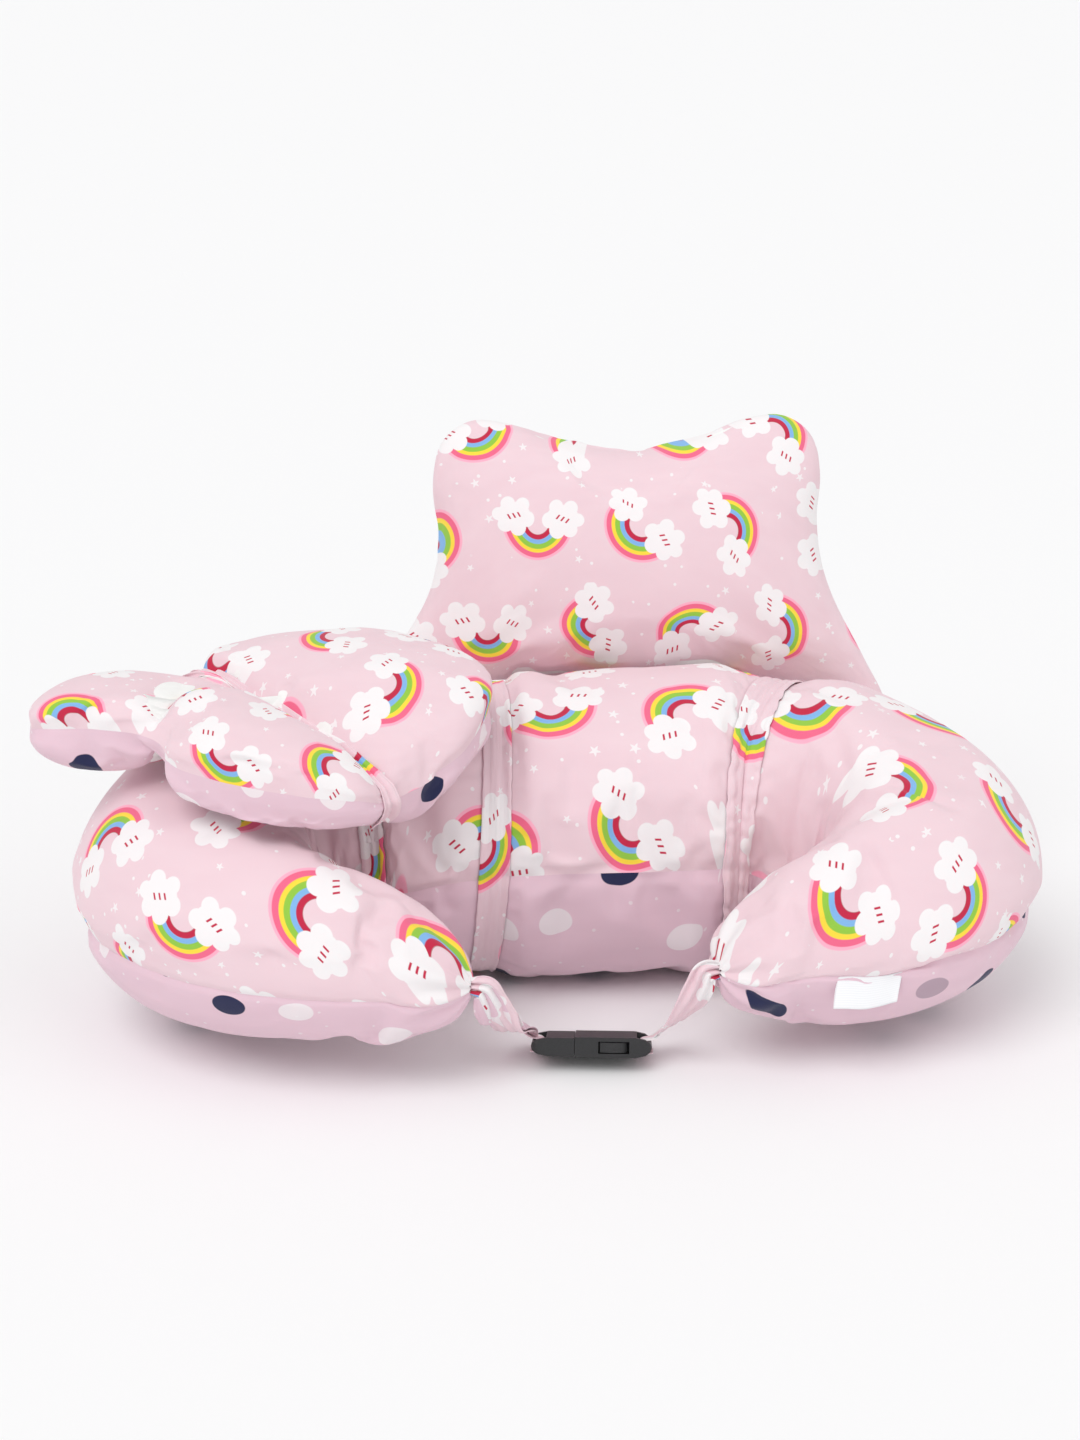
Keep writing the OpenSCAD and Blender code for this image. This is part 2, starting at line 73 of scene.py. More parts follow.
def even(points, n, closed=False):
    """n points at equal steps along a polyline."""
    p = np.vstack([points, points[:1]]) if closed else np.asarray(points)
    s = run_along(p)
    q = np.linspace(0, s[-1], n + 1)[:-1] if closed else np.linspace(0, s[-1], n)
    return np.stack([np.interp(q, s, p[:, k]) for k in range(p.shape[1])], 1)


def smooth(x, lo, hi):
    """0 below lo, 1 above hi, with soft ends."""
    f = np.clip((np.asarray(x, float) - lo) / (hi - lo), 0, 1)
    return f * f * (3 - 2 * f)


def bump(x, at, width):
    """1 at a place, falling off softly to both sides."""
    return np.exp(-((np.asarray(x, float) - at) / width) ** 2)


def wander(x, seed, count):
    """A smooth, repeatable wavy line of about unit height, from that many waves."""
    r = np.random.default_rng(seed)
    out = np.zeros_like(np.asarray(x, float))
    for k in range(count):
        out += r.normal() / (1 + 0.4 * k) * np.sin((k + 1) * np.asarray(x) + r.uniform(0, math.tau))
    return out / 1.6


# ------ meshes


def make_mesh(name, verts, faces, uv=None, uv_faces=None):
    """A mesh object; uv is one pair per vertex, or uv_faces one pair per face corner."""
    me = bpy.data.meshes.new(name)
    me.from_pydata([tuple(v) for v in np.asarray(verts)], [], [tuple(f) for f in faces])
    layer = me.uv_layers.new(name="cloth")
    loops = np.empty(len(me.loops), int)
    me.loops.foreach_get("vertex_index", loops)
    pairs = np.asarray(uv)[loops] if uv_faces is None else uv_faces
    layer.data.foreach_set("uv", np.asarray(pairs, np.float32).ravel())
    me.polygons.foreach_set("use_smooth", [True] * len(me.polygons))
    me.update()
    ob = bpy.data.objects.new(name, me)
    bpy.context.scene.collection.objects.link(ob)
    return ob


def grid_faces(n, m, wrap=False, flip=False, base=0):
    """Faces between n rows of m points; wrap joins each row's last point to its first."""
    k = m if wrap else m - 1
    out = []
    for i in range(n - 1):
        for j in range(k):
            a, b = base + i * m + j, base + i * m + (j + 1) % m
            f = (a, b, b + m, a + m)
            out.append(f[::-1] if flip else f)
    return out


def sheet_mesh(name, grid, uv, flip=False, wrap=False, poles=()):
    """A mesh from a grid of points; poles closes the first or last row with one point."""
    n, m = grid.shape[:2]
    verts = list(grid.reshape(-1, 3))
    pairs = list(uv.reshape(-1, 2))
    faces = grid_faces(n, m, wrap, flip)
    for row in poles:
        centre = len(verts)
        verts.append(grid[row].mean(0))
        pairs.append(uv[row].mean(0))
        start = 0 if row == 0 else (n - 1) * m
        for j in range(m if wrap else m - 1):
            a, b = start + j, start + (j + 1) % m
            f = (b, a, centre) if (row == 0) != flip else (a, b, centre)
            faces.append(f)
    return make_mesh(name, verts, faces, pairs)


def grid_normals(grid):
    """Unit normals of a grid whose rows are closed rings."""
    dr = np.gradient(grid, axis=0)
    dc = (np.roll(grid, -1, 1) - np.roll(grid, 1, 1)) / 2
    nn = np.cross(dc, dr)
    return nn / np.maximum(norm(nn, axis=2, keepdims=True), 1e-12)


def soften(ob):
    """Smooths a mesh once. Its limit surface would be slow at the many-sided poles."""
    sub = ob.modifiers.new("soft", "SUBSURF")
    sub.levels = sub.render_levels = 1
    sub.use_limit_surface = False


def thicken(ob, thickness):
    """Gives a strip its cloth thickness, half to each side."""
    s = ob.modifiers.new("cloth thickness", "SOLIDIFY")
    s.thickness, s.offset = thickness, 0


def dress(ob, material, body, cad_node):
    """Material, body and the CAD node that a piece stands for."""
    ob.data.materials.append(material)
    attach(ob, body)
    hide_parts(cad_node)


def panel(name, grid, uv, body, cad_node, closed=True):
    """A printed or plain cover panel; a closed one has rows that run from its seam to its middle."""
    plain = name.endswith("plain")
    ob = sheet_mesh(name, grid, uv, flip=plain and closed, wrap=closed, poles=(-1,) if closed else ())
    soften(ob)
    material, slot_name = (PLAIN_CLOTH, "plain_cotton") if plain else (PRINT, "print_cotton")
    dress(ob, material, body, cad_node)


def stuffed(name, grid, uv, material, body, cad_node):
    """A closed inner piece, a bag or a filling, from rings of points."""
    dress(sheet_mesh(name, grid, uv, wrap=True, poles=(0, -1)), material, body, cad_node)


# ------ cloth


DRAPE_FRAMES = 16


def drape(grid, pins, cap, grow, gather, pressure, bend):
    """Inflates and puckers a closed grid with Blender's cloth and returns the moved grid.

    pins is 0 to 1 per point, gather is 0 to 1 where the seam draws the cloth in. The cloth grows by
    grow elsewhere, and no point moves further than cap.
    """
    n, m = grid.shape[:2]
    ob = sheet_mesh("drape", grid, np.zeros((n, m, 2)), wrap=True, poles=(0, -1))
    me = ob.data
    hold = ob.vertex_groups.new(name="hold")
    draw = ob.vertex_groups.new(name="draw")
    for v, (p, g) in enumerate(zip(pins.ravel(), gather.ravel())):
        hold.add([v], float(p), "REPLACE")
        draw.add([v], float(g), "REPLACE")
    for v, row in zip(range(n * m, len(me.vertices)), (0, -1)):
        hold.add([v], float(pins[row].mean()), "REPLACE")
    cl = ob.modifiers.new("cloth", "CLOTH")
    st = cl.settings
    st.quality = 6
    st.mass = 0.25
    st.tension_stiffness = st.compression_stiffness = 12
    st.shear_stiffness = 6
    st.bending_stiffness = bend
    st.tension_damping = st.compression_damping = st.shear_damping = 8
    st.air_damping = 3
    st.use_pressure = True
    st.uniform_pressure_force = pressure
    st.vertex_group_mass = "hold"
    st.pin_stiffness = 1.0
    st.vertex_group_shrink = "draw"
    st.shrink_min, st.shrink_max = -grow, 0.05
    st.effector_weights.gravity = 0
    cl.collision_settings.use_collision = False
    cl.collision_settings.use_self_collision = False
    sc = bpy.context.scene
    for f in range(1, DRAPE_FRAMES + 1):
        sc.frame_set(f)
    ev = ob.evaluated_get(bpy.context.evaluated_depsgraph_get())
    co = np.empty(len(me.vertices) * 3)
    ev.data.vertices.foreach_get("co", co)
    co = co.reshape(-1, 3)[: n * m].reshape(n, m, 3)
    sc.frame_set(1)
    bpy.data.objects.remove(ob)
    move = co - grid
    d = norm(move, axis=2, keepdims=True)
    return grid + move * (cap * np.tanh(d / cap) / np.maximum(d, 1e-9))


# ------ materials


class N:
    """A value in a node tree that takes ordinary arithmetic."""

    tree = None

    def __init__(self, s):
        self.s = s

    @staticmethod
    def op(kind, *args, clamp=False):
        nd = N.tree.nodes.new("ShaderNodeMath")
        nd.operation, nd.use_clamp = kind, clamp
        for i, a in enumerate(args):
            if isinstance(a, N):
                N.tree.links.new(a.s, nd.inputs[i])
            else:
                nd.inputs[i].default_value = float(a)
        return N(nd.outputs[0])

    def below(self, o, edge=0.25):
        """1 where self is below o, with an edge that wide."""
        return N.op("MULTIPLY_ADD", o - self, 1 / edge, 0.5, clamp=True)

    def above(self, o, edge=0.25):
        return N.op("MULTIPLY_ADD", self - o, 1 / edge, 0.5, clamp=True)


for method, kind in (("add", "ADD"), ("sub", "SUBTRACT"), ("mul", "MULTIPLY"), ("truediv", "DIVIDE")):
    setattr(N, f"__{method}__", lambda self, o, kind=kind: N.op(kind, self, o))
    setattr(N, f"__r{method}__", lambda self, o, kind=kind: N.op(kind, o, self))
ONE_VALUE = {"floor": "FLOOR", "frac": "FRACT", "sin": "SINE", "cos": "COSINE", "abs": "ABSOLUTE"}
for method, kind in ONE_VALUE.items():
    setattr(N, method, lambda self, kind=kind: N.op(kind, self))


def node(kind, **props):
    """A new shader node in the current tree."""
    nd = N.tree.nodes.new("ShaderNode" + kind)
    for k, v in props.items():
        setattr(nd, k, v)
    return nd


def put(nd, **values):
    """Sets a node's inputs by name, with _ for a space."""
    for name, value in values.items():
        nd.inputs[name.replace("_", " ")].default_value = value


def link(a, b):
    N.tree.links.new(a.s if isinstance(a, N) else a, b)


def paint(under, colour, mask):
    """colour over under where mask is 1."""
    nd = node("Mix", data_type="RGBA")
    link(mask, nd.inputs[0])
    for part, socket in ((under, nd.inputs[6]), (colour, nd.inputs[7])):
        if isinstance(part, tuple):
            socket.default_value = (*part, 1)
        else:
            link(part, socket)
    return nd.outputs[2]


def random3(ix, iy, salt):
    """Three random values for a cell of the print."""
    c = node("CombineXYZ")
    link(ix, c.inputs[0])
    link(iy, c.inputs[1])
    c.inputs[2].default_value = salt
    w = node("TexWhiteNoise", noise_dimensions="3D")
    link(c.outputs[0], w.inputs[0])
    sep = node("SeparateColor")
    link(w.outputs["Color"], sep.inputs[0])
    return [N(sep.outputs[i]) for i in range(3)]


def length2(x, y):
    return N.op("SQRT", x * x + y * y)


def cells(x, y, size, salt, shift=0.5, jitter=0.0):
    """Local coordinates and random values of a staggered grid of cells."""
    gy = y / size
    row = gy.floor()
    gx = x / size + shift * N.op("MODULO", row, 2.0)
    col = gx.floor()
    r = random3(col, row, salt)
    lx = (gx - col - 0.5 - (r[0] - 0.5) * jitter) * size
    ly = (gy - row - 0.5 - (r[1] - 0.5) * jitter) * size
    return lx, ly, r


def linear(r, g, b):
    """An 8-bit screen colour as linear light."""
    return tuple(c / 255 / 12.92 if c <= 10 else ((c / 255 + 0.055) / 1.055) ** 2.4 for c in (r, g, b))


GROUND = linear(238, 211, 218)
PLAIN = linear(232, 201, 213)
WHITE = linear(243, 239, 240)
CRIMSON = linear(196, 40, 72)
# An arch from its halo inwards: the outer radius of each band in millimetres, and its colour
RAINBOW = [
    (28.0, linear(252, 178, 200)),
    (26.2, linear(240, 108, 142)),
    (22.6, linear(252, 220, 70)),
    (20.0, linear(148, 200, 72)),
    (16.4, linear(132, 182, 232)),
    (13.2, linear(196, 40, 72)),
]
RAINBOW_IN = 9.6
# The round lobes of a cloud: place and radius, in millimetres
PUFFS = [
    (-10.5, 2.0, 5.8), (-3.5, 8.5, 6.2), (6.0, 7.0, 5.6),
    (11.2, -0.5, 4.8), (5.0, -8.2, 5.4), (-6.0, -8.0, 5.4),
]
NAVY = linear(38, 42, 78)


def start_material(name):
    """A new material, whose tree is the one that N, node and link use from here on."""
    m = bpy.data.materials.new(name)
    m.use_nodes = True
    N.tree = m.node_tree
    return m, m.node_tree.nodes["Principled BSDF"]


def cloth_xy():
    """Cloth coordinates in millimetres."""
    uv = node("UVMap", uv_map="cloth")
    sep = node("SeparateXYZ")
    link(uv.outputs[0], sep.inputs[0])
    return N(sep.outputs[0]) * 1000, N(sep.outputs[1]) * 1000


def dotted_ground(x, y, light, dark, patches, cell, salt, least, more, rare):
    """A cloth's slightly uneven ground colour, and the mask of its small dots."""
    noise = node("TexNoise")
    put(noise, Scale=patches)
    dx, dy, dr = cells(x, y, cell, salt, jitter=0.7)
    dots = length2(dx, dy).below(least + dr[2] * more, 0.3) * dr[2].above(rare, 0.01)
    return paint(light, dark, N(noise.outputs["Fac"]).above(0.5, 0.6)), dots


ARCH_CELL, OVAL_CELL = 79.0, 57.0  # how far apart the arches and the ovals are, in millimetres
STROKES_APART = 3.6


def print_colour(x, y):
    """The printed pattern: arches with a cloud at each foot, stars and dots."""
    base, dots = dotted_ground(x, y, GROUND, linear(234, 205, 213), 9, 14.0, 3.0, 0.55, 0.8, 0.55)
    # stars
    sx, sy, sr = cells(x + 9.0, y + 4.0, 29.0, 5.0, jitter=0.5)
    ang = N.op("ARCTAN2", sy, sx) * (5 / math.tau) + sr[0] * 3.0
    tip = ((ang.frac() - 0.5) * 2.0).abs()
    reach = (2.6 + sr[1] * 1.4) * (0.42 + 0.58 * tip * tip)
    stars = length2(sx, sy).below(reach, 0.3) * sr[2].above(0.2, 0.01)
    # arches
    cx, cy, cr = cells(x, y, ARCH_CELL, 1.0, jitter=0.03)
    cx, cy = cx / 1.05, cy / 1.05
    turn = cr[2] * math.tau
    c, s = turn.cos(), turn.sin()
    px, py = cx * c + cy * s, cy * c - cx * s + 7.0
    rad = length2(px, py)
    upper = py.above(0.0, 0.4)
    halo = rad.below(33.0, 0.4)
    mask = N.op("MAXIMUM", dots, stars) * (1.0 - halo)
    col = paint(base, WHITE, mask * 0.85)
    for r, tint in RAINBOW:
        col = paint(col, tint, rad.below(r, 0.5) * rad.above(RAINBOW_IN, 0.5) * upper)
    # clouds
    qx = px.abs() - 19.5
    qy = py + 3.5
    cloud = length2(qx * 0.8, qy).below(10.2, 0.5)
    for ox, oy, r in PUFFS:
        cloud = N.op("MAXIMUM", cloud, length2(qx - ox, qy - oy).below(r, 0.5))
    col = paint(col, WHITE, cloud)
    # three slanting rain strokes on each cloud
    ux, uy = qx * 0.82 + qy * 0.57, qy * 0.82 - qx * 0.57
    step = ux - STROKES_APART * N.op("ROUND", ux / STROKES_APART)
    stroke = step.abs().below(0.6, 0.4) * ux.abs().below(5.2, 0.2) * (uy + ux * 0.35).abs().below(2.0, 0.5)
    return paint(col, CRIMSON, stroke * cloud)


def plain_colour(x, y):
    """The plain panels: sparse navy ovals, pale discs and faint dots."""
    base, dots = dotted_ground(x, y, PLAIN, linear(227, 195, 208), 7, 17.0, 11.0, 0.5, 0.7, 0.6)
    col = paint(base, WHITE, dots * 0.5)
    ox, oy, orr = cells(x + 20.0, y + 12.0, OVAL_CELL, 13.0, jitter=0.58)
    rad = length2(ox * 0.92, oy * 1.12)
    disc = rad.below(10.2, 0.5)
    col = paint(col, WHITE, disc * orr[2].below(0.3, 0.01) * 0.75)
    return paint(col, NAVY, disc * orr[2].above(0.58, 0.01))


def raise_by(bsdf, height, strength, distance):
    """Bump from a height value."""
    b = node("Bump")
    put(b, Strength=strength, Distance=distance)
    link(height, b.inputs["Height"])
    link(b.outputs[0], bsdf.inputs["Normal"])


THREAD_PITCH = 0.55  # millimetres


def weave_bump(bsdf, x, y, crumple, along):
    """Threads of a plain weave and a soft crumple, as bump."""
    k = math.tau / THREAD_PITCH
    threads = (x * k).sin() * (y * k).sin()
    soft = node("TexNoise")
    put(soft, Scale=1, Detail=5)
    at = node("CombineXYZ")
    link(x * along[0], at.inputs[0])
    link(y * along[1], at.inputs[1])
    link(at.outputs[0], soft.inputs["Vector"])
    height = threads * 0.025 + N(soft.outputs["Fac"]) * crumple
    raise_by(bsdf, height, 0.35, 0.0016)


def fabric(name, colour_of, sheen=0.18, rough=0.86, crumple=0.5, along=(0.03, 0.03)):
    """A woven cloth; along is how fast its crumple changes across and along the piece."""
    m, bsdf = start_material(name)
    x, y = cloth_xy()
    link(colour_of(x, y), bsdf.inputs["Base Color"])
    put(bsdf, Roughness=rough, Sheen_Weight=sheen, Sheen_Roughness=0.5, Specular_IOR_Level=0.25)
    put(bsdf, Subsurface_Weight=0.06, Subsurface_Radius=(0.004, 0.002, 0.002), Subsurface_Scale=0.5)
    weave_bump(bsdf, x, y, crumple, along)
    return m


def solid(name, colour, rough, metal=0.0, grain=900.0, depth=0.0001, vary=0.12):
    """A moulded or metal surface with fine grain."""
    m, bsdf = start_material(name)
    noise = node("TexNoise")
    put(noise, Scale=grain, Detail=3)
    coord = node("TexCoord")
    link(coord.outputs["Object"], noise.inputs["Vector"])
    f = N(noise.outputs["Fac"])
    darker = tuple(c * (1 - vary) for c in colour)
    link(paint(colour, darker, f.above(0.5, 0.5)), bsdf.inputs["Base Color"])
    link(f * 0.12 + (rough - 0.06), bsdf.inputs["Roughness"])
    put(bsdf, Metallic=metal)
    raise_by(bsdf, f, 0.4, depth)
    return m


def ribs(light, dark, along_x, rate, start, edge):
    """Fine woven ribs, along the piece or across it."""
    return lambda x, y: paint(light, dark, ((x if along_x else y) * rate).sin().above(start, edge))


ZIP_PINK = linear(240, 200, 216)
RIB_PINK = linear(228, 186, 204)
LINER_RIBS = ribs(WHITE, linear(244, 242, 238), True, 0.7, 0.2, 0.5)
LABEL_RIBS = ribs(linear(246, 246, 248), linear(241, 241, 244), False, 5.0, 0.4, 0.6)
TAPE_RIBS = ribs(ZIP_PINK, RIB_PINK, True, 3.2, 0.0, 0.6)
PRINT = fabric("printed cotton", print_colour)
PLAIN_CLOTH = fabric("plain cotton", plain_colour)
BAND_CLOTH = fabric("band cotton", print_colour, crumple=1.3, along=(0.32, 0.02))
LINER = fabric("liner cloth", LINER_RIBS)
FIBRE = solid("fibre filling", linear(250, 250, 248), 0.95, grain=60.0, depth=0.001)
BUCKLE = solid("black acetal", linear(44, 44, 46), 0.42, depth=0.00004, vary=0.3)
METAL = solid("plated zip metal", linear(190, 190, 194), 0.3, metal=1.0, grain=700.0, depth=0.00003)
NYLON = solid("nylon coil", ZIP_PINK, 0.45)
LABEL = fabric("label ribbon", LABEL_RIBS, sheen=0.3, rough=0.6, crumple=0.2)
TAPE = fabric("zip tape", TAPE_RIBS, crumple=0.2)

# ------ main roll

SEAM = 11.0  # degrees that the seams lie below the roll's middle
# x, y, z, outer half width, inner half width, half height, in millimetres
LEFT = [
    (0, 0, 92, 94, 94, 94), (54, 0, 92, 94, 94, 94), (130, -5, 92, 94, 90, 94),
    (182, -36, 91, 95, 65, 92), (206, -86, 88, 92, 58, 86), (190, -130, 85, 78, 53, 72),
    (152, -156, 80, 64, 50, 58), (112, -172, 74, 48, 46, 46), (82, -184, 69, 31, 31, 31),
    (62, -192, 66, 10, 10, 12),
]
RIGHT = [
    (0, 0, 92, 94, 94, 94), (56, 0, 92, 94, 94, 94), (130, -3.5, 92, 94, 90, 94), (184, -34, 91, 94, 65, 92),
    (212, -80, 88, 90, 57, 86), (200, -124, 85, 78, 54, 72), (162, -150, 80, 62, 50, 56),
    (126, -165, 74, 46, 42, 43), (98, -174, 68, 28, 28, 29), (84, -180, 65, 10, 10, 12),
]
STATIONS = np.array([(-r[0], *r[1:]) for r in LEFT[::-1]] + RIGHT[1:], float) * MM
LAST = len(STATIONS) - 1
STATION_MM = 60  # about one unit of the parameter, along the middle of the roll


def roll_at(t):
    """Station values, direction along the roll and outward direction at parameter t."""
    q = catmull(STATIONS, t)
    e = 1e-3
    d = catmull(STATIONS, np.clip(t + e, 0, LAST))[:, :2] - catmull(STATIONS, np.clip(t - e, 0, LAST))[:, :2]
    d /= norm(d, axis=1, keepdims=True)
    out = np.stack([-d[:, 1], d[:, 0], np.zeros(len(d))], 1)
    return q, d, out


def even_rings(n):
    """Parameters of n rings at even steps of the outer side, so they are closer in the bends."""
    t = np.linspace(0, LAST, 4001)
    q, _, out = roll_at(t)
    s = run_along(q[:, :3] + out * (q[:, 3:4] * 0.75))
    return np.interp(np.linspace(0, s[-1], n), s, t)


RINGS = 236
T = even_rings(RINGS)
ring_q, ring_d, ring_out = roll_at(T)
centre_s = run_along(ring_q[:, :2])


def seam_angles(lo, hi, n):
    """n section angles from one seam to the other, closer together at both."""
    f = np.linspace(0, 1, n)
    f = f - 0.055 * np.sin(math.tau * f)
    return lo + (hi - lo) * f


UPPER_N, LOWER_N = 58, 44
A_UP = seam_angles(-SEAM, 180 + SEAM, UPPER_N)
A_LOW = seam_angles(180 + SEAM, 360 - SEAM, LOWER_N)
ANGLES = np.concatenate([A_UP[:-1], A_LOW[:-1]])
M = len(ANGLES)

# Bands round the roll: parameter along the roll, how much it shifts with the sine and the cosine of
# the section angle, width in metres, number of pleats and seed of the band's small wanderings.
BANDS = {
    "head_band_loop": {"t": 6.75, "lean": (0, 0), "width": 0.018, "pleats": 2, "seed": 124},
    "back_band_left": {"t": 8.2, "lean": (0.10, 0), "width": 0.020, "pleats": 1, "seed": 124},
    "back_band_right": {"t": 11.08, "lean": (0.10, 0.12), "width": 0.023, "pleats": 3, "seed": 125},
}


def band_drift(band, angles):
    """The shift of a band's middle along the roll at section angles, in parameter units."""
    a = np.radians(angles)
    return band["lean"][0] * np.sin(a) + band["lean"][1] * np.cos(a)


def off_band(band, t, angles):
    """How far along the roll points lie from a band's middle, in millimetres."""
    return (t[:, None] - band["t"] - band_drift(band, angles)[None]) * STATION_MM


def inner_seam(t, angles):
    """Section angles for each parameter: the inner seam runs higher along the middle of the roll."""
    rise = 12 * smooth(t, 6.2, 8.4) * (1 - smooth(t, 10.9, 12.4))
    near = np.clip((np.asarray(angles, float) - 180 - SEAM) / 110, -1, 1)
    return angles - rise[:, None] * (0.5 + 0.5 * np.cos(math.pi * near))[None]


def roll_surface(t, angles, inset=0.0):
    """Points of the roll for each parameter and angle, before wrinkles."""
    q, _, out = roll_at(t)
    a = np.radians(inner_seam(t, angles))
    narrow = 1 - 0.6 * (1 - smooth(t, 0, 0.3)) - 0.6 * smooth(t, LAST - 0.3, LAST)
    half = (np.where(np.cos(a) >= 0, q[:, 3:4], q[:, 4:5]) - inset) * narrow[:, None]
    high = (q[:, 5:6] - inset) * narrow[:, None]
    p = q[:, None, :3] + out[:, None, :] * (half * np.cos(a))[:, :, None]
    p = p + np.array([0, 0, 1.0]) * (high * np.sin(a))[:, :, None]
    return p


def cinch(t, angles):
    """How far the bands draw the roll in, in metres."""
    depth = np.zeros((len(t), len(angles)))
    for b in BANDS.values():
        mm = off_band(b, t, angles)
        depth += 4.8 * bump(mm, 0, 13) - 1.8 * bump(np.abs(mm), 30, 14)
    return depth * MM


raw = roll_surface(T, ANGLES)
axis = ring_q[:, None, :3] + np.zeros_like(raw)
inward = axis - raw
inward /= np.maximum(norm(inward, axis=2, keepdims=True), 1e-9)
in_depth = cinch(T, ANGLES)
size_at = np.minimum(1, ring_q[:, 5:6] / 0.06)
# The seam is drawn in a little.
seam_near = sum(bump(ANGLES, s, 2.6) for s in (-SEAM, 180 + SEAM, 360 - SEAM))
in_depth = in_depth * size_at + 1.6 * MM * seam_near[None] * size_at
# Gathers where each arm is tied to its strap.
tip_l = smooth(-T, -1.9, -0.1)
tip_r = smooth(T, LAST - 1.9, LAST - 0.1)
pleat = np.sin(np.radians(ANGLES) * 9 + 0.6 * np.sin(np.radians(ANGLES) * 2))[None]
in_depth = in_depth + (tip_l + tip_r)[:, None] * ring_q[:, 5:6] * 0.13 * (pleat + 0.4)
main_grid = raw + inward * in_depth[:, :, None]


def settle(grid, floor=0.0006, soft=0.004):
    """Flattens a grid softly where it would go below the floor."""
    z = grid[:, :, 2]
    over = z - floor
    grid[:, :, 2] = floor + np.where(over > soft, over, soft * np.exp(np.minimum((over - soft) / soft, 0)))
    return grid


main_grid = settle(main_grid)
under_band = np.clip(sum(1.6 * bump(off_band(b, T, ANGLES), 0, 15) for b in BANDS.values()), 0, 1)
ends = np.clip(tip_l + tip_r, 0, 1)[:, None]
pins = np.clip(0.02 + under_band + ends + (main_grid[:, :, 2] < 0.002), 0, 1)
gather = np.clip(seam_near[None] + 0 * pins, 0, 1)
main_grid = settle(drape(main_grid, pins, 0.007, 0.05, gather, 1.2, 0.6), soft=0.002)


def roll_uv(angles, crown):
    """Cloth coordinates of a panel: its flat cut, laid out from the crown line."""
    curve = np.gradient(np.unwrap(np.arctan2(ring_d[:, 1], ring_d[:, 0])), centre_s)
    kernel = np.exp(-np.linspace(-2, 2, 21) ** 2)
    curve = np.convolve(np.pad(curve, 10, "edge"), kernel / kernel.sum(), "valid")
    seg = norm(np.diff(roll_surface(T, angles), axis=1), axis=2)
    arc = np.concatenate([np.zeros((RINGS, 1)), np.cumsum(seg, axis=1)], 1)
    mid = np.array([np.interp(crown, angles, arc[k]) for k in range(RINGS)])[:, None]
    off = mid - arc if crown < 180 else arc - mid
    bendy = np.maximum(-curve[:, None], 1e-3)
    inner = -(1 - np.exp(-bendy * np.abs(off))) / bendy
    off = np.where(off < 0, inner, off)
    return ring_q[:, None, :2] + ring_out[:, None, :2] * off[:, :, None]


upper = main_grid[:, :UPPER_N]
lower = np.concatenate([main_grid[:, UPPER_N - 1:], main_grid[:, :1]], 1)
panel("main_cover_printed", upper, roll_uv(A_UP, 90.0), "main_pillow", "main_cover_upper", False)
panel("main_cover_plain", lower, roll_uv(A_LOW, 270.0), "main_pillow", "main_cover_lower", False)

# Points and normals of the finished roll at any parameter and angle.
main_norm = grid_normals(main_grid)
if np.mean(np.sum(main_norm * (main_grid - axis), axis=2)) < 0:
    main_norm = -main_norm


def on_roll(t, angle, lift=0.0):
    """A point on the finished roll, lifted off it along its normal; t and angle have one shape."""
    i = np.clip(np.interp(t, T, np.arange(RINGS)), 0, RINGS - 1.001)
    ext = np.concatenate([ANGLES, [ANGLES[0] + 360]])
    j = np.interp((angle - ANGLES[0]) % 360 + ANGLES[0], ext, np.arange(M + 1))
    i0, j0 = np.floor(i).astype(int), np.floor(j).astype(int) % M
    fi, fj = (i - i0)[..., None], (j - np.floor(j))[..., None]
    j1 = (j0 + 1) % M

    def sample(g):
        here = g[i0, j0] * (1 - fi) + g[i0 + 1, j0] * fi
        return here * (1 - fj) + (g[i0, j1] * (1 - fi) + g[i0 + 1, j1] * fi) * fj

    p, n = sample(main_grid), sample(main_norm)
    return p + n * np.asarray(lift)[..., None]


def surface_tree(*grids):
    """A ray-cast tree of closed grids."""
    verts, faces = [], []
    for g in grids:
        n, m = g.shape[:2]
        faces += grid_faces(n, m, True, base=len(verts))
        verts += [tuple(v) for v in g.reshape(-1, 3)]
    return BVHTree.FromPolygons(verts, faces)


MAIN_TREE = surface_tree(main_grid)
above = Vector((0, 0, 0.3))
spot, way = MAIN_TREE.find_nearest(above)[:2]
OUTWARD = 1 if (above - spot).dot(way) > 0 else -1  # which side of the tree's faces is outside


def keep_clear(grid, turns, gap):
    """Pushes points that would come nearer the roll than gap at any of the turns."""
    out = grid.copy()
    for turn in turns:
        back = turn.inverted()
        for i, j in np.ndindex(out.shape[:2]):
            q = turn @ Vector(out[i, j])
            spot, way = MAIN_TREE.find_nearest(q, 0.06)[:2]
            if spot is None:
                continue
            short = gap - (q - spot).dot(way) * OUTWARD
            if short > 0:
                out[i, j] = back @ (q + way * (short * OUTWARD))
    return out


def turns_about(point, axis, degrees):
    """The turns of a joint through a point, one for each angle."""
    at = Matrix.Translation(Vector(point))
    return [at @ Matrix.Rotation(math.radians(d), 4, axis) @ at.inverted() for d in degrees]


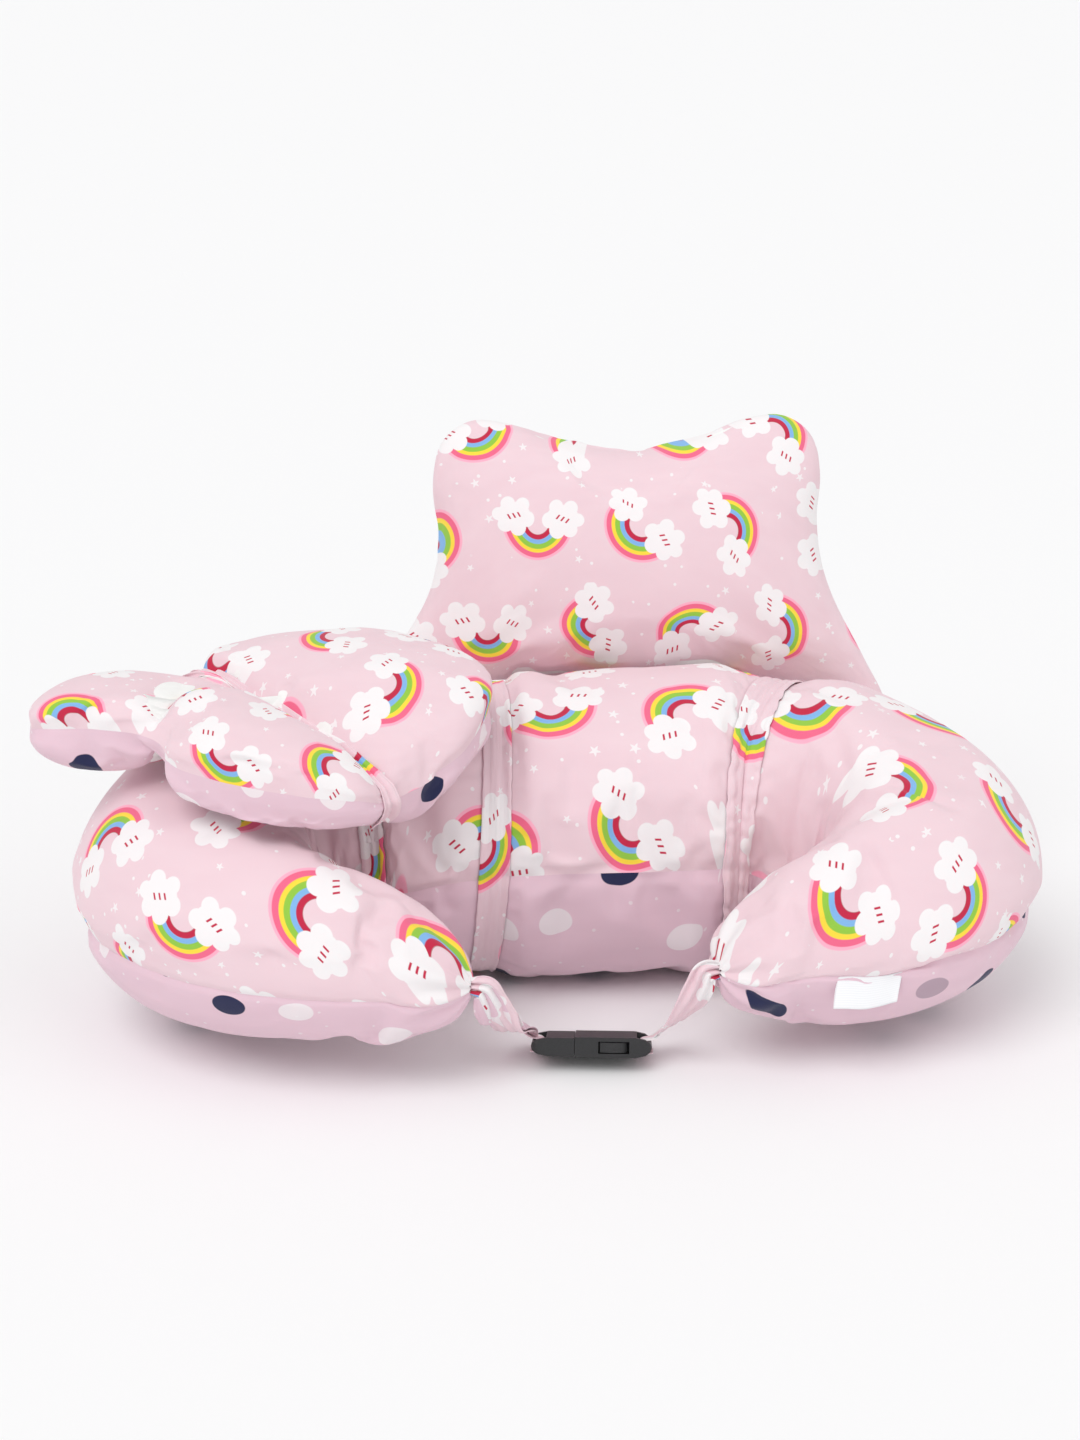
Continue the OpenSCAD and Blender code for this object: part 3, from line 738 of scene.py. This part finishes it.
def band_loop(name, spec, count=220, across=15):
    """A gathered cloth band lying on the roll all the way round."""
    ang = np.linspace(0, 360, count, endpoint=False)
    turn = np.radians(ang)
    mid = spec["t"] + band_drift(spec, ang)
    near = np.linspace(-0.9, 0.9, 121)
    span = on_roll(mid[:, None] + near[None], ang[:, None] + 0 * near[None])
    steps = norm(np.diff(span, axis=1), axis=2)
    run = np.concatenate([np.zeros((count, 1)), np.cumsum(steps, axis=1)], 1)
    u = np.linspace(-1, 1, across)
    seed = spec["seed"]
    width = spec["width"] / 2 * (1 + 0.05 * wander(turn, seed, 4))
    sway = 0.0008 * wander(turn, seed + 1, 5)
    t = np.array([
        mid[i] + np.interp(run[i, len(near) // 2] + sway[i] + width[i] * u, run[i], near)
        for i in range(count)
    ])
    phase = 0.9 * wander(turn, seed + 2, 4)[:, None]
    fold = 0.75 * np.cos(math.pi * (spec["pleats"] + 0.5) * (u[None] + 0.12 * phase) + phase)
    fine = 0.12 * np.cos(9 * u[None] * math.pi + 2 * phase)
    edge = 1 - np.abs(u[None]) ** 6
    grid = on_roll(t, ang[:, None] + 0 * t, (1.2 + edge * (1.0 + fold + fine)) * MM)
    grid[:, :, 2] = np.maximum(grid[:, :, 2], 0.0006)
    middle = grid[:, across // 2]
    length = np.cumsum(norm(np.roll(middle, -1, 0) - middle, axis=1))
    uv = np.stack([width[:, None] * u[None] * 1.25 + 0.03 * seed, length[:, None] + 0 * t], 2)
    faces, corners = [], []
    for i in range(count):
        k = (i + 1) % count
        top = uv[k] if k else uv[k] + np.array([0, length[-1]])
        for j in range(across - 1):
            faces.append((i * across + j, i * across + j + 1, k * across + j + 1, k * across + j))
            corners += [uv[i, j], uv[i, j + 1], top[j + 1], top[j]]
    ob = make_mesh(name, grid.reshape(-1, 3), faces, uv_faces=np.array(corners))
    thicken(ob, 0.0008)
    soften(ob)
    return ob, width.mean() * 2, length[-1]


for band_name, band_spec in BANDS.items():
    band, band_w, band_l = band_loop(band_name + "_cloth", band_spec)
    dress(band, BAND_CLOTH, "main_pillow", band_name)

# Inner bag and filling, well inside the cover.
inner_t = np.linspace(0.6, LAST - 0.6, 90)
inner_a = np.linspace(0, 360, 48, endpoint=False)
for nm, inset, mat, sl, nd in (
    ("main_liner_bag", 0.012, LINER, "liner_cloth", "main_liner"),
    ("main_fill_fibre", 0.016, FIBRE, "fibre_fill", "main_fill"),
):
    g = roll_surface(inner_t, inner_a, inset)
    g[:, :, 2] = np.maximum(g[:, :, 2], inset)
    stuffed(nm, g, g[:, :, :2], mat, "main_pillow", nd)

# ------ stuffed pillows


def inflation(outline, ties=(), pitch=0.003, rounds=2600):
    """How far a stuffed form with this flat outline swells, 0 at the seam to 1, at any point.

    ties are lines a to b where something draws the form in to the two heights given.
    """
    lo = outline.min(0) - 4 * pitch
    nx, ny = np.ceil((outline.max(0) - lo) / pitch).astype(int) + 5
    gx, gy = np.meshgrid(lo[0] + pitch * np.arange(nx), lo[1] + pitch * np.arange(ny), indexing="ij")
    inside = np.zeros((nx, ny), bool)
    a, b = outline, np.roll(outline, -1, 0)
    for (x0, y0), (x1, y1) in zip(a, b):
        hit = (y0 > gy) != (y1 > gy)
        with np.errstate(divide="ignore", invalid="ignore"):
            inside ^= hit & (gx < (x1 - x0) * (gy - y0) / (y1 - y0) + x0)
    u = np.zeros((nx, ny))
    limit = np.full((nx, ny), np.inf)
    for a, b, at_a, at_b in ties:
        d = np.asarray(b) - a
        f = np.clip(((gx - a[0]) * d[0] + (gy - a[1]) * d[1]) / (d @ d), 0, 1)
        away = np.hypot(gx - a[0] - f * d[0], gy - a[1] - f * d[1])
        limit = np.minimum(limit, np.where(away < 1.5 * pitch, (at_a + (at_b - at_a) * f) ** 2, np.inf))

    def round_about():
        return u[2:, 1:-1] + u[:-2, 1:-1] + u[1:-1, 2:] + u[1:-1, :-2]

    for _ in range(rounds):
        u[1:-1, 1:-1] = 0.25 * round_about() + pitch * pitch
        u[~inside] = 0
        u = np.minimum(u, limit)
    for _ in range(3 if ties else 0):
        u[1:-1, 1:-1] = 0.5 * u[1:-1, 1:-1] + 0.125 * round_about()
    top = u.max()

    def at(p):
        f = (p - lo) / pitch
        i = np.clip(np.floor(f).astype(int), 0, [nx - 2, ny - 2])
        (ix, iy), (fx, fy) = np.moveaxis(i, -1, 0), np.moveaxis(f - i, -1, 0)
        v = (u[ix, iy] * (1 - fx) * (1 - fy) + u[ix + 1, iy] * fx * (1 - fy)
             + u[ix, iy + 1] * (1 - fx) * fy + u[ix + 1, iy + 1] * fx * fy)
        return np.sqrt(np.maximum(v, 0) / top)

    return at


ROWS = 30
ROW_A = np.linspace(0, 86, ROWS)


def pillow_rows(seam, centre, swell):
    """Plan points and swell for each row from the seam (row 0) inwards."""
    s = np.cos(np.radians(ROW_A))
    flat = centre + (seam - centre)[None] * s[:, None, None]
    h = swell(flat[..., :2])
    k = int(np.sum(s > 0.93))  # the rows nearest the seam follow a round edge
    for r in range(k):
        h[r] = h[k] * np.sqrt(max(0.0, (1 - s[r] ** 2) / (1 - s[k] ** 2)))
    return flat, h


def outward_uv(plan, centre, face):
    """Cloth coordinates that run out from a face's middle with the true length of the cloth."""
    out = plan[0] - centre
    out /= norm(out, axis=1, keepdims=True)
    steps = norm(np.diff(face, axis=0), axis=2)
    first = norm(plan[-1:] - centre, axis=2)
    run = first + np.concatenate([np.cumsum(steps[::-1], axis=0)[::-1], 0 * first])
    return centre + out[None] * run[..., None]


def pillow(front, rear, held, cap):
    """Joins two faces at their seam, drapes the cloth and returns the two faces again.

    held is 1 at points that stay where they are, and cap is the furthest that any point moves.
    """
    grid = np.concatenate([front[::-1], rear[1:]], 0)
    seam_row = len(front) - 1
    row = np.arange(len(grid))
    rows = np.abs(row - seam_row)
    pins = np.clip(0.03 + 0 * grid[:, :, 0] + held, 0, 1)
    gather = bump(rows, 0, 1.1)[:, None] + 0 * pins
    move = drape(grid, pins, cap, 0.06, gather, 1.5, 0.5) - grid
    # Towards a face's middle the cloth only keeps the shift of a row further out, so it stays smooth.
    calm = smooth(rows, 0.5 * len(front), 0.8 * len(front))[:, None, None]
    half = len(front) // 2
    whole = np.where(row[:, None] < seam_row, move[seam_row - half].mean(0), move[seam_row + half].mean(0))
    out = grid + move * (1 - calm) + whole[:, None] * calm
    return out[: seam_row + 1][::-1], out[seam_row:]


# Back pillow: outline in its own plane, across and up from its hinge line.
BACK_HALF = [
    (0, 1), (60, -2), (120, -9), (160, -19), (174, -16), (160, 14), (138, 60),
    (129, 100), (131, 137), (126, 163), (106, 178), (80, 176), (45, 163), (0, 156),
]
BACK_OUT = np.array(BACK_HALF + [(-x, y) for x, y in BACK_HALF[-2:0:-1]], float) * MM
BACK_AT = np.array([62, 72, 164]) * MM
BACK_LEAN = math.radians(15)
BACK_C = np.array([0, 78]) * MM
BACK_T = 46 * MM  # how far each face swells
BACK_PRINT, HEAD_PRINT = 1.18, 1.15  # the print is that much finer than the roll's
COLS = 200


def back_pushed(p):
    """The left corner lies on the roll, which pushes it up."""
    q = p.copy()
    x, y = p[..., 0] / MM, p[..., 1] / MM
    near_corner = np.clip(-x / 174, 0, 1.2) ** 3 * np.maximum(0, 1 - np.maximum(y, 0) / 100)
    q[..., 1] += np.where(x < 0, 20 * MM * near_corner, 0)
    return q


def leaned(flat, depth):
    """From the back pillow's own plane, and a depth behind it, to the shared frame."""
    c, s = math.cos(BACK_LEAN), math.sin(BACK_LEAN)
    x, y = flat[..., 0], flat[..., 1]
    return np.stack([BACK_AT[0] + x, BACK_AT[1] + y * s + depth * c, BACK_AT[2] + y * c - depth * s], -1)


def seam_line(points, samples):
    """COLS points at even steps along a smooth closed line."""
    t = np.linspace(0, len(points), samples, endpoint=False)
    return even(catmull(points, t, closed=True), COLS, closed=True)


back_seam = seam_line(BACK_OUT, 900)
flat, h = pillow_rows(back_seam, BACK_C, inflation(back_seam))
flat = back_pushed(flat)
front, rear = pillow(leaned(flat, -BACK_T * h), leaned(flat, BACK_T * h), 0, 0.006)
BACK_TURNS = turns_about(BACK_AT, "X", (0, 5, 10))
front, rear = keep_clear(front, BACK_TURNS, 0.0025), keep_clear(rear, BACK_TURNS, 0.0025)
back_uv = flat * BACK_PRINT
panel("back_pillow_printed", front, back_uv, "back_pillow", "back_cover_front")
panel("back_pillow_plain", rear, back_uv, "back_pillow", "back_cover_rear")
FILL_SCALE = 0.93
g = leaned(
    np.concatenate([flat[::-4], flat[::4]]) * FILL_SCALE + BACK_C * (1 - FILL_SCALE),
    0.8 * BACK_T * np.concatenate([-h[::-4], h[::4]]),
)
stuffed("back_fill_fibre", g, g[:, :, :2], FIBRE, "back_pillow", "back_fill")

# Head pillow: seam line from the outer tip, x, y, z.
HEAD_SEAM = np.array([
    (-316, -84, 200), (-280, -104, 202), (-246, -113, 201), (-233, -124, 197), (-232, -146, 192),
    (-212, -160, 188), (-188, -166, 183), (-157, -176, 180), (-122, -175, 176), (-107, -152, 172),
    (-84, -136, 177), (-60, -128, 186), (-44, -100, 198), (-40, -72, 202), (-52, -30, 204),
    (-100, 0, 206), (-165, 10, 208), (-205, -8, 208), (-224, -42, 206), (-262, -28, 202), (-300, -42, 200),
], float) * MM
HEAD_C = np.array([-168, -80, 196]) * MM
WAIST = np.array([-166, -90]) * MM
WAIST_ALONG = np.array([0.67, -0.74])
WAIST_ACROSS = np.array([0.74, 0.67])
HUB = np.array([-148, -112]) * MM  # where the band draws the pillow in most
# The waist under the band, in two halves, and the fold between the two left lobes.
HEAD_TIES = (
    (WAIST - WAIST_ALONG * 0.1, HUB, 0.003, 0.004),
    (HUB, WAIST + WAIST_ALONG * 0.1, 0.004, 0.003),
    (np.array([-0.242, -0.118]), np.array([-0.226, -0.050]), 0.004, 0.026),
)
HEAD_TOP, HEAD_LOW = 37 * MM, 42 * MM  # how far each face swells
HEAD_PLAIN_SHIFT = np.array([0.114, 0.02])  # brings two navy ovals to the front
SWING = math.radians(15)


def roof(p):
    """Height of the roll's upper side over plan points, highest over the head pillow's swing."""
    best = np.zeros(p.shape[:-1])
    use = (T > 2) & (T < LAST - 2)
    dx, dy = p[..., 0] - WAIST[0], p[..., 1] - WAIST[1]
    for a in (-SWING, -SWING / 2, 0, SWING / 2, SWING):
        c, s = math.cos(a), math.sin(a)
        q = WAIST + np.stack([dx * c - dy * s, dx * s + dy * c], -1)
        for r, n2 in zip(ring_q[use][::2], ring_out[use][::2]):
            e = q - r[:2]
            across = e @ n2[:2]
            along = e[..., 0] * n2[1] - e[..., 1] * n2[0]
            w = np.where(across > 0, r[3], r[4])
            k = np.maximum(1 - (across / w) ** 2 - (along / 0.09) ** 2, 0)
            best = np.maximum(best, np.where(k > 0, r[2] + r[5] * np.sqrt(k), 0))
    return best


head_seam = seam_line(HEAD_SEAM, 1200)
head_swell = inflation(head_seam[:, :2], HEAD_TIES, pitch=0.002, rounds=3600)
flat, up = pillow_rows(head_seam, HEAD_C, head_swell)
plan = flat[..., :2]
up = up**0.66  # fuller towards the seam than a bare film
top = flat + np.array([0, 0, 1.0]) * (HEAD_TOP * up)[..., None]
low = flat - np.array([0, 0, 1.0]) * (HEAD_LOW * up)[..., None]
ground = roof(plan)
low[..., 2] = np.minimum(flat[..., 2] - 0.001 * (ROW_A[:, None] > 0), np.maximum(low[..., 2], ground + 0.004))
lying = low[..., 2] < ground + 0.005
top, low = pillow(top, low, np.concatenate([0 * lying[::-1], lying[1:]]).astype(float), 0.005)
HEAD_TURNS = turns_about((*WAIST, 0.2), "Z", (-15, -10, -5, 0, 5, 10, 15))
top, low = keep_clear(top, HEAD_TURNS, 0.0028), keep_clear(low, HEAD_TURNS, 0.0028)
top_uv, low_uv = (outward_uv(plan, HEAD_C[:2], g) * HEAD_PRINT for g in (top, low))
panel("head_pillow_printed", top, top_uv, "head_pillow", "head_cover_upper")
panel("head_pillow_plain", low, low_uv + HEAD_PLAIN_SHIFT, "head_pillow", "head_cover_lower")
g = np.concatenate([low[::-4], top[::4]])
g = g + (np.array([-0.168, -0.08, 0.2]) - g) * 0.1
stuffed("head_fill_fibre", g, g[:, :, :2], FIBRE, "head_pillow", "head_fill")


def ribbon(name, centre, across, width, offset, uv_at):
    """A strip of cloth: centre points, a width direction and a width for each, offset[i, j] off its plane."""
    u = np.linspace(-1, 1, offset.shape[1])
    d = np.gradient(centre, axis=0)
    d /= norm(d, axis=1, keepdims=True)
    side = across - d * np.sum(across * d, axis=1, keepdims=True)
    side /= norm(side, axis=1, keepdims=True)
    face = np.cross(d, side)
    grid = centre[:, None] + side[:, None] * (u[None] * width[:, None] / 2)[..., None]
    grid = grid + face[:, None] * offset[..., None]
    s = run_along(centre)
    x, y = np.meshgrid(uv_at[0] + np.mean(width) * 0.6 * u, uv_at[1] + s)
    ob = sheet_mesh(name, grid, np.stack([x, y], 2))
    thicken(ob, 0.0008)
    soften(ob)
    return ob, s[-1]


def head_wrap():
    """The band over the head pillow, from below its one edge to below the other."""
    tree = surface_tree(top, low)
    line = np.linspace(-1, 1, 61)
    pts = []
    for f in np.where(line < 0, 0.091, 0.088) * line:
        x, y = WAIST + WAIST_ALONG * f
        hit = tree.ray_cast(Vector((x, y, 0.4)), Vector((0, 0, -1)))[0]
        if hit:
            pts.append((x, y, hit.z))
    pts = np.array(pts)
    k = np.ones(5) / 5
    pts[:, 2] = np.convolve(np.pad(pts[:, 2], 2, "edge"), k, "valid") + 0.0036
    # over the pillow's edges
    lead = pts[0] + np.array([[-0.0055, 0.007, -0.022], [-0.004, 0.005, -0.010]])
    tail = pts[-1] + np.array([[0.003, -0.003, -0.009], [0.001, 0.003, -0.018], [-0.004, 0.010, -0.025]])
    pts = even(np.vstack([lead, pts, tail]), 70)
    s = np.linspace(-1, 1, len(pts))
    width = 0.0085 + 0.0075 * smooth(np.abs(s), 0.5, 1)
    u = np.linspace(-1, 1, 13)
    off = 0.0011 * np.cos(2.5 * math.pi * u[None] + 2 * np.sin(3 * s)[:, None]) * (1 - u[None] ** 4)
    off = off + 0.0022 * u[None] ** 2
    side = np.array([*WAIST_ACROSS, 0.0]) + 0 * pts
    return *ribbon("head_band_wrap_cloth", pts, side, width, off, (0.31, 0.12)), pts


def head_band_tail(name, start, face_angle, uv_at):
    """The band from the pillow's edge down to its loop round the roll."""
    t0 = BANDS["head_band_loop"]["t"]
    beyond = face_angle + (8 if face_angle > 90 else -8)
    land = on_roll(np.full(2, t0), np.array([face_angle, beyond]), np.full(2, 0.0034))
    pts = even(catmull(np.vstack([start, [start[1] * 0.5 + land[0] * 0.5], land]), np.linspace(0, 4, 60)), 40)
    s = np.linspace(0, 1, 40)
    u = np.linspace(-1, 1, 13)
    off = 0.0009 * np.cos(2.5 * math.pi * u[None] + 2.2 * s[:, None]) * (1 - u[None] ** 4)
    sides = on_roll(np.array([t0 - 0.05, t0 + 0.05]), np.full(2, face_angle))
    ring = sides[1] - sides[0]
    ring = ring / norm(ring)
    first = np.array([*WAIST_ACROSS, 0.0])
    ring = ring if ring @ first > 0 else -ring
    side = first * (1 - s[:, None]) + ring * s[:, None]
    ob, length = ribbon(name, pts, side, np.full(40, 0.016), off, uv_at)
    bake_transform(ob)
    ob.data.materials.append(BAND_CLOTH)


wrap, wrap_l, wrap_line = head_wrap()
head_band_tail("head_band_front", wrap_line[-3:-1], 158.0, (0.33, 0.5))
head_band_tail("head_band_rear", wrap_line[2:0:-1], 22.0, (0.52, 0.3))
dress(wrap, BAND_CLOTH, "head_pillow", "head_band_wrap")

# ------ straps and buckle

BUCKLE_AT = np.array([2, -158, 11.3]) * MM
BUCKLE_YAW, BUCKLE_ROLL = math.radians(-7), math.radians(18)


def from_buckle(x, y, z):
    """A point of the buckle's own frame, in millimetres, in the shared frame."""
    yy = y * math.cos(BUCKLE_ROLL) + z * math.sin(BUCKLE_ROLL)
    zz = z * math.cos(BUCKLE_ROLL) - y * math.sin(BUCKLE_ROLL)
    c, s = math.cos(BUCKLE_YAW), math.sin(BUCKLE_YAW)
    return BUCKLE_AT + np.array([x * c - yy * s, x * s + yy * c, zz]) * MM


NEAR = from_buckle(0, -1, 0) - BUCKLE_AT
NEAR = NEAR / norm(NEAR)
# Where a strap passes the buckle's bar, from outside the buckle: along it and above it, in millimetres.
TO_BAR = [(8.5, 8), (4, 4.6)]
ROUND_BAR = [(-2.2, 3.2), (-4.4, 0), (-2.2, -3.3), (2.5, -3.8), (4.2, -3.6)]


def strap(name, hang, dirs, bar, way, widths, sag, seed, material, uv_at, offset=0.0, wraps=True):
    """A strap from an arm's tip to the buckle's bar at local x = bar, folded back under it."""
    n0 = len(hang)
    passed = TO_BAR + (ROUND_BAR if wraps else [])
    pts = [np.array(p) * MM for p in hang] + [from_buckle(bar + way * x, 0, z) for x, z in passed]
    side = [np.array(v, float) for v in dirs] + [NEAR] * len(passed)
    t = np.linspace(0, len(pts) - 1, 90)
    c, a = catmull(pts, t), catmull(side, t)
    c[:, 2] -= sag * MM * bump(t, 2.4, 1.1)
    w = np.interp(t, np.arange(len(widths)), widths) * MM
    u = np.linspace(-1, 1, 15)
    loose = 1 - smooth(t, 1.0, n0 + 0.5)
    wave = np.cos(3 * math.pi * u[None] + 1.4 * wander(t, seed, 3)[:, None])
    wave = wave * (0.25 + 1.9 * loose[:, None])
    off = (wave * (1 - 0.5 * u[None] ** 4) + offset) * MM
    c[:, 2] = np.maximum(c[:, 2], 0.004)
    ob, length = ribbon(name, c, a, w, off, uv_at)
    ob.data.materials.append(material)
    return ob


LEFT_HANG = [(-64, -192, 67), (-54, -194, 66), (-50, -191, 56), (-45, -184, 43), (-39, -173, 29)]
LEFT_DIRS = [(0.3, 0.1, 0.9), (0.55, 0.1, 0.6), (0.6, 0, 0.5), (0.45, -0.4, 0.5), (0.2, -0.75, 0.4)]
RIGHT_HANG = [(86, -180, 66), (76.5, -182, 66), (73, -181, 56), (68, -177, 43), (61, -170, 29)]
RIGHT_DIRS = [(-0.3, 0.1, 0.9), (-0.6, 0.1, 0.55), (-0.6, 0, 0.5), (-0.45, -0.4, 0.5), (-0.3, -0.75, 0.4)]
STRAP_W = [9, 15, 18, 21, 22, 22, 21, 20, 20, 20, 20, 20]
LINING_W = [8, 15, 22, 24, 23, 20, 19]
PLUG_BAR, SOCKET_BAR = -22.5, 42.5  # the buckle's two bars, along its own x
strap_l = strap(
    "strap_left_cloth", LEFT_HANG, LEFT_DIRS, PLUG_BAR, -1, STRAP_W, 0, 41, BAND_CLOTH, (0.0, 0.118),
)
lining = strap(
    "strap_left_lining", LEFT_HANG, LEFT_DIRS, PLUG_BAR, -1, LINING_W, 5, 43, PLAIN_CLOTH, (0.4, 0.1),
    offset=-1.8, wraps=False,
)
for ob in (strap_l, lining):
    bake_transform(ob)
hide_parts("strap_left")
strap_r = strap(
    "strap_right_cloth", RIGHT_HANG, RIGHT_DIRS, SOCKET_BAR, 1, STRAP_W, 0, 47, BAND_CLOTH, (0.158, 0.276),
)
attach(strap_r, "main_pillow")
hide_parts("strap_right")


def finish_node(name, material, width):
    """A CAD node keeps its shape, with soft edges and its own material."""
    ob = bpy.data.objects[name]
    if not ob.material_slots:
        ob.data.materials.append(material)
    for slot in ob.material_slots:
        slot.material = material
    b = ob.modifiers.new("soft edges", "BEVEL")
    b.width, b.segments, b.limit_method, b.angle_limit = width, 3, "ANGLE", math.radians(35)


for nm in ("buckle_socket", "buckle_plug", "buckle_prong_front", "buckle_prong_rear"):
    finish_node(nm, BUCKLE, 0.0006)
for nm in ("zip_slider", "zip_pull", "zip_stops"):
    finish_node(nm, METAL, 0.0003)

# ------ zip

ZIP_X, ZIP_Y, ZIP_Z = 0.046, 0.096174, 0.074064  # the middle of the closed zip
ZIP_L = 0.140
ZIP_ENDS = ZIP_X - ZIP_L / 2, ZIP_X + ZIP_L / 2
TOOTH, WIRE = 0.0016, 0.00038  # one tooth's length, and the radius of the nylon
LOOP_STEPS, WIRE_SIDES = 12, 6


def zip_coil():
    """Two rows of looped nylon teeth that meet along the zip."""
    verts, faces = [], []
    n = int(ZIP_L / TOOTH) * LOOP_STEPS
    k = np.arange(n + 1)
    a = math.tau * k / LOOP_STEPS
    for row in (-1, 1):
        x = ZIP_ENDS[0] + 0.0004 + (ZIP_L - 0.0008) * k / n + (0.0004 if row > 0 else 0)
        z = ZIP_Z + row * (0.00035 + 0.0008 * (1 - np.cos(a)) * 0.5)
        base = len(verts)
        for p, turn in zip(np.stack([x, ZIP_Y + 0.00125 * np.sin(a), z], 1), a):
            for b in math.tau * np.arange(WIRE_SIDES) / WIRE_SIDES:
                across = math.sin(b)
                out = (math.cos(b), across * abs(math.cos(turn)), across * math.sin(turn))
                verts.append(p + WIRE * np.array(out))
        faces += [[base + v for v in f] for f in grid_faces(n + 1, WIRE_SIDES, True)]
    return make_mesh("zip_coil_teeth", verts, faces, np.array(verts)[:, :2])


def zip_tape(name, sign):
    """One woven tape from the coil to its sewn edge on the cover."""
    x = np.linspace(ZIP_ENDS[0] - 0.004, ZIP_ENDS[1] + 0.004, 71)
    middle = (T > 7.2) & (T < 11.8)  # the back of the roll, where x rises with t
    t = np.interp(x, ring_q[middle, 0], T[middle])
    u = np.linspace(0, 1, 9)
    grid = np.zeros((len(x), len(u), 3))
    for j, f in enumerate(u):
        ang = -SEAM + sign * (0.6 + 5.6 * f)
        flat_edge = on_roll(t, np.full(len(x), ang), 0.0007)
        near_coil = np.stack([x, np.full(len(x), ZIP_Y - 0.0014), np.full(len(x), ZIP_Z + sign * 0.0009)], 1)
        k = smooth(f, 0, 0.55)
        grid[:, j] = near_coil * (1 - k) + flat_edge * k
        grid[:, j, 0] = x
    uv = np.stack([x[:, None] + 0 * u[None], 0.012 * u[None] + 0 * x[:, None]], 2)
    ob = sheet_mesh(name, grid, uv, flip=sign < 0)
    thicken(ob, 0.0006)
    return ob


dress(zip_coil(), NYLON, "main_pillow", "zip_coil")
for nm, sign in (("zip_tape_upper", 1), ("zip_tape_lower", -1)):
    dress(zip_tape(nm + "_woven", sign), TAPE, "main_pillow", nm)


# ------ label


def label():
    """A blank ribbon folded in two, caught in the right arm's front seam and hanging over the lower panel."""
    w, h = 0.040, 0.018
    centre_x = 0.172
    arm = np.linspace(14.6, 16.6, 161)
    line = on_roll(arm, np.full(161, -SEAM - 0.5))
    run = run_along(line)
    u, v = np.linspace(-0.5, 0.5, 17), np.linspace(0, 2, 25)
    t = np.interp(run[int(np.argmin(np.abs(line[:, 0] - centre_x)))] + u * w, run, arm)
    root = on_roll(t, np.full(17, -SEAM - 0.5), -0.0005)
    hang = on_roll(t, np.full(17, -SEAM - 14.0)) - root
    hang = (hang / norm(hang, axis=1, keepdims=True)).mean(0)
    out = np.cross(root[-1] - root[0], hang)
    out = out / norm(out) * (-1 if out[1] > 0 else 1)
    far = np.minimum(v, 2 - v)[:, None]  # down the front half and up the back half
    side = 0.0007 * np.sin(math.pi * 0.9 * far) * np.where(v > 1, 1, -1)[:, None]
    lift = 0.0012 + 0.0075 * far - 0.002 * far**2
    away = lift * far + side + 0.0014 * np.sin(4 * u + 0.6) * far + 0.0006
    grid = root + hang * (h * far)[..., None] + out * away[..., None]
    ob = sheet_mesh("care_label_ribbon", grid, np.stack(np.meshgrid(u * w, v * h), 2))
    thicken(ob, 0.0003)
    soften(ob)
    return ob


dress(label(), LABEL, "main_pillow", "care_label")

# ------ stage


def sun(name, source, power, spread):
    """A wide soft light from a direction, the same over the whole floor."""
    lt = bpy.data.lights.new(name, "SUN")
    lt.energy, lt.angle = power, math.radians(spread)
    ob = bpy.data.objects.new(name, lt)
    ob.location = source
    ob.rotation_euler = (-Vector(source)).to_track_quat("-Z", "Y").to_euler()
    bpy.context.scene.collection.objects.link(ob)


def studio():
    """A pale floor, soft light and the camera at the photograph's angle."""
    bpy.ops.mesh.primitive_plane_add(size=80, location=(0, 0, 0))
    floor = bpy.context.active_object
    floor.name = "studio_floor"
    m, bsdf = start_material("studio white")
    put(bsdf, Base_Color=(0.93, 0.93, 0.935, 1), Roughness=0.9)
    floor.data.materials.append(m)
    sc = bpy.context.scene
    world = bpy.data.worlds.new("studio")
    world.use_nodes = True
    put(world.node_tree.nodes["Background"], Color=(1, 1, 1, 1), Strength=0.68)
    sc.world = world
    sun("key", (-0.9, -1.1, 1.9), 1.15, 40)
    sun("fill", (1.3, -0.9, 1.2), 0.35, 60)
    cam_data = bpy.data.cameras.new("camera")
    cam = bpy.data.objects.new("camera", cam_data)
    sc.collection.objects.link(cam)
    azim, elev, away = math.radians(-5), math.radians(19), 1.75
    target = Vector((-0.012, -0.075, 0.189))
    back = Vector((math.sin(azim) * math.cos(elev), -math.cos(azim) * math.cos(elev), math.sin(elev)))
    cam.location = target + back * away
    cam.rotation_euler = (-back).to_track_quat("-Z", "Y").to_euler()
    cam_data.lens, cam_data.sensor_width = 72, 36
    sc.camera = cam
    sc.view_settings.view_transform = "Standard"


studio()
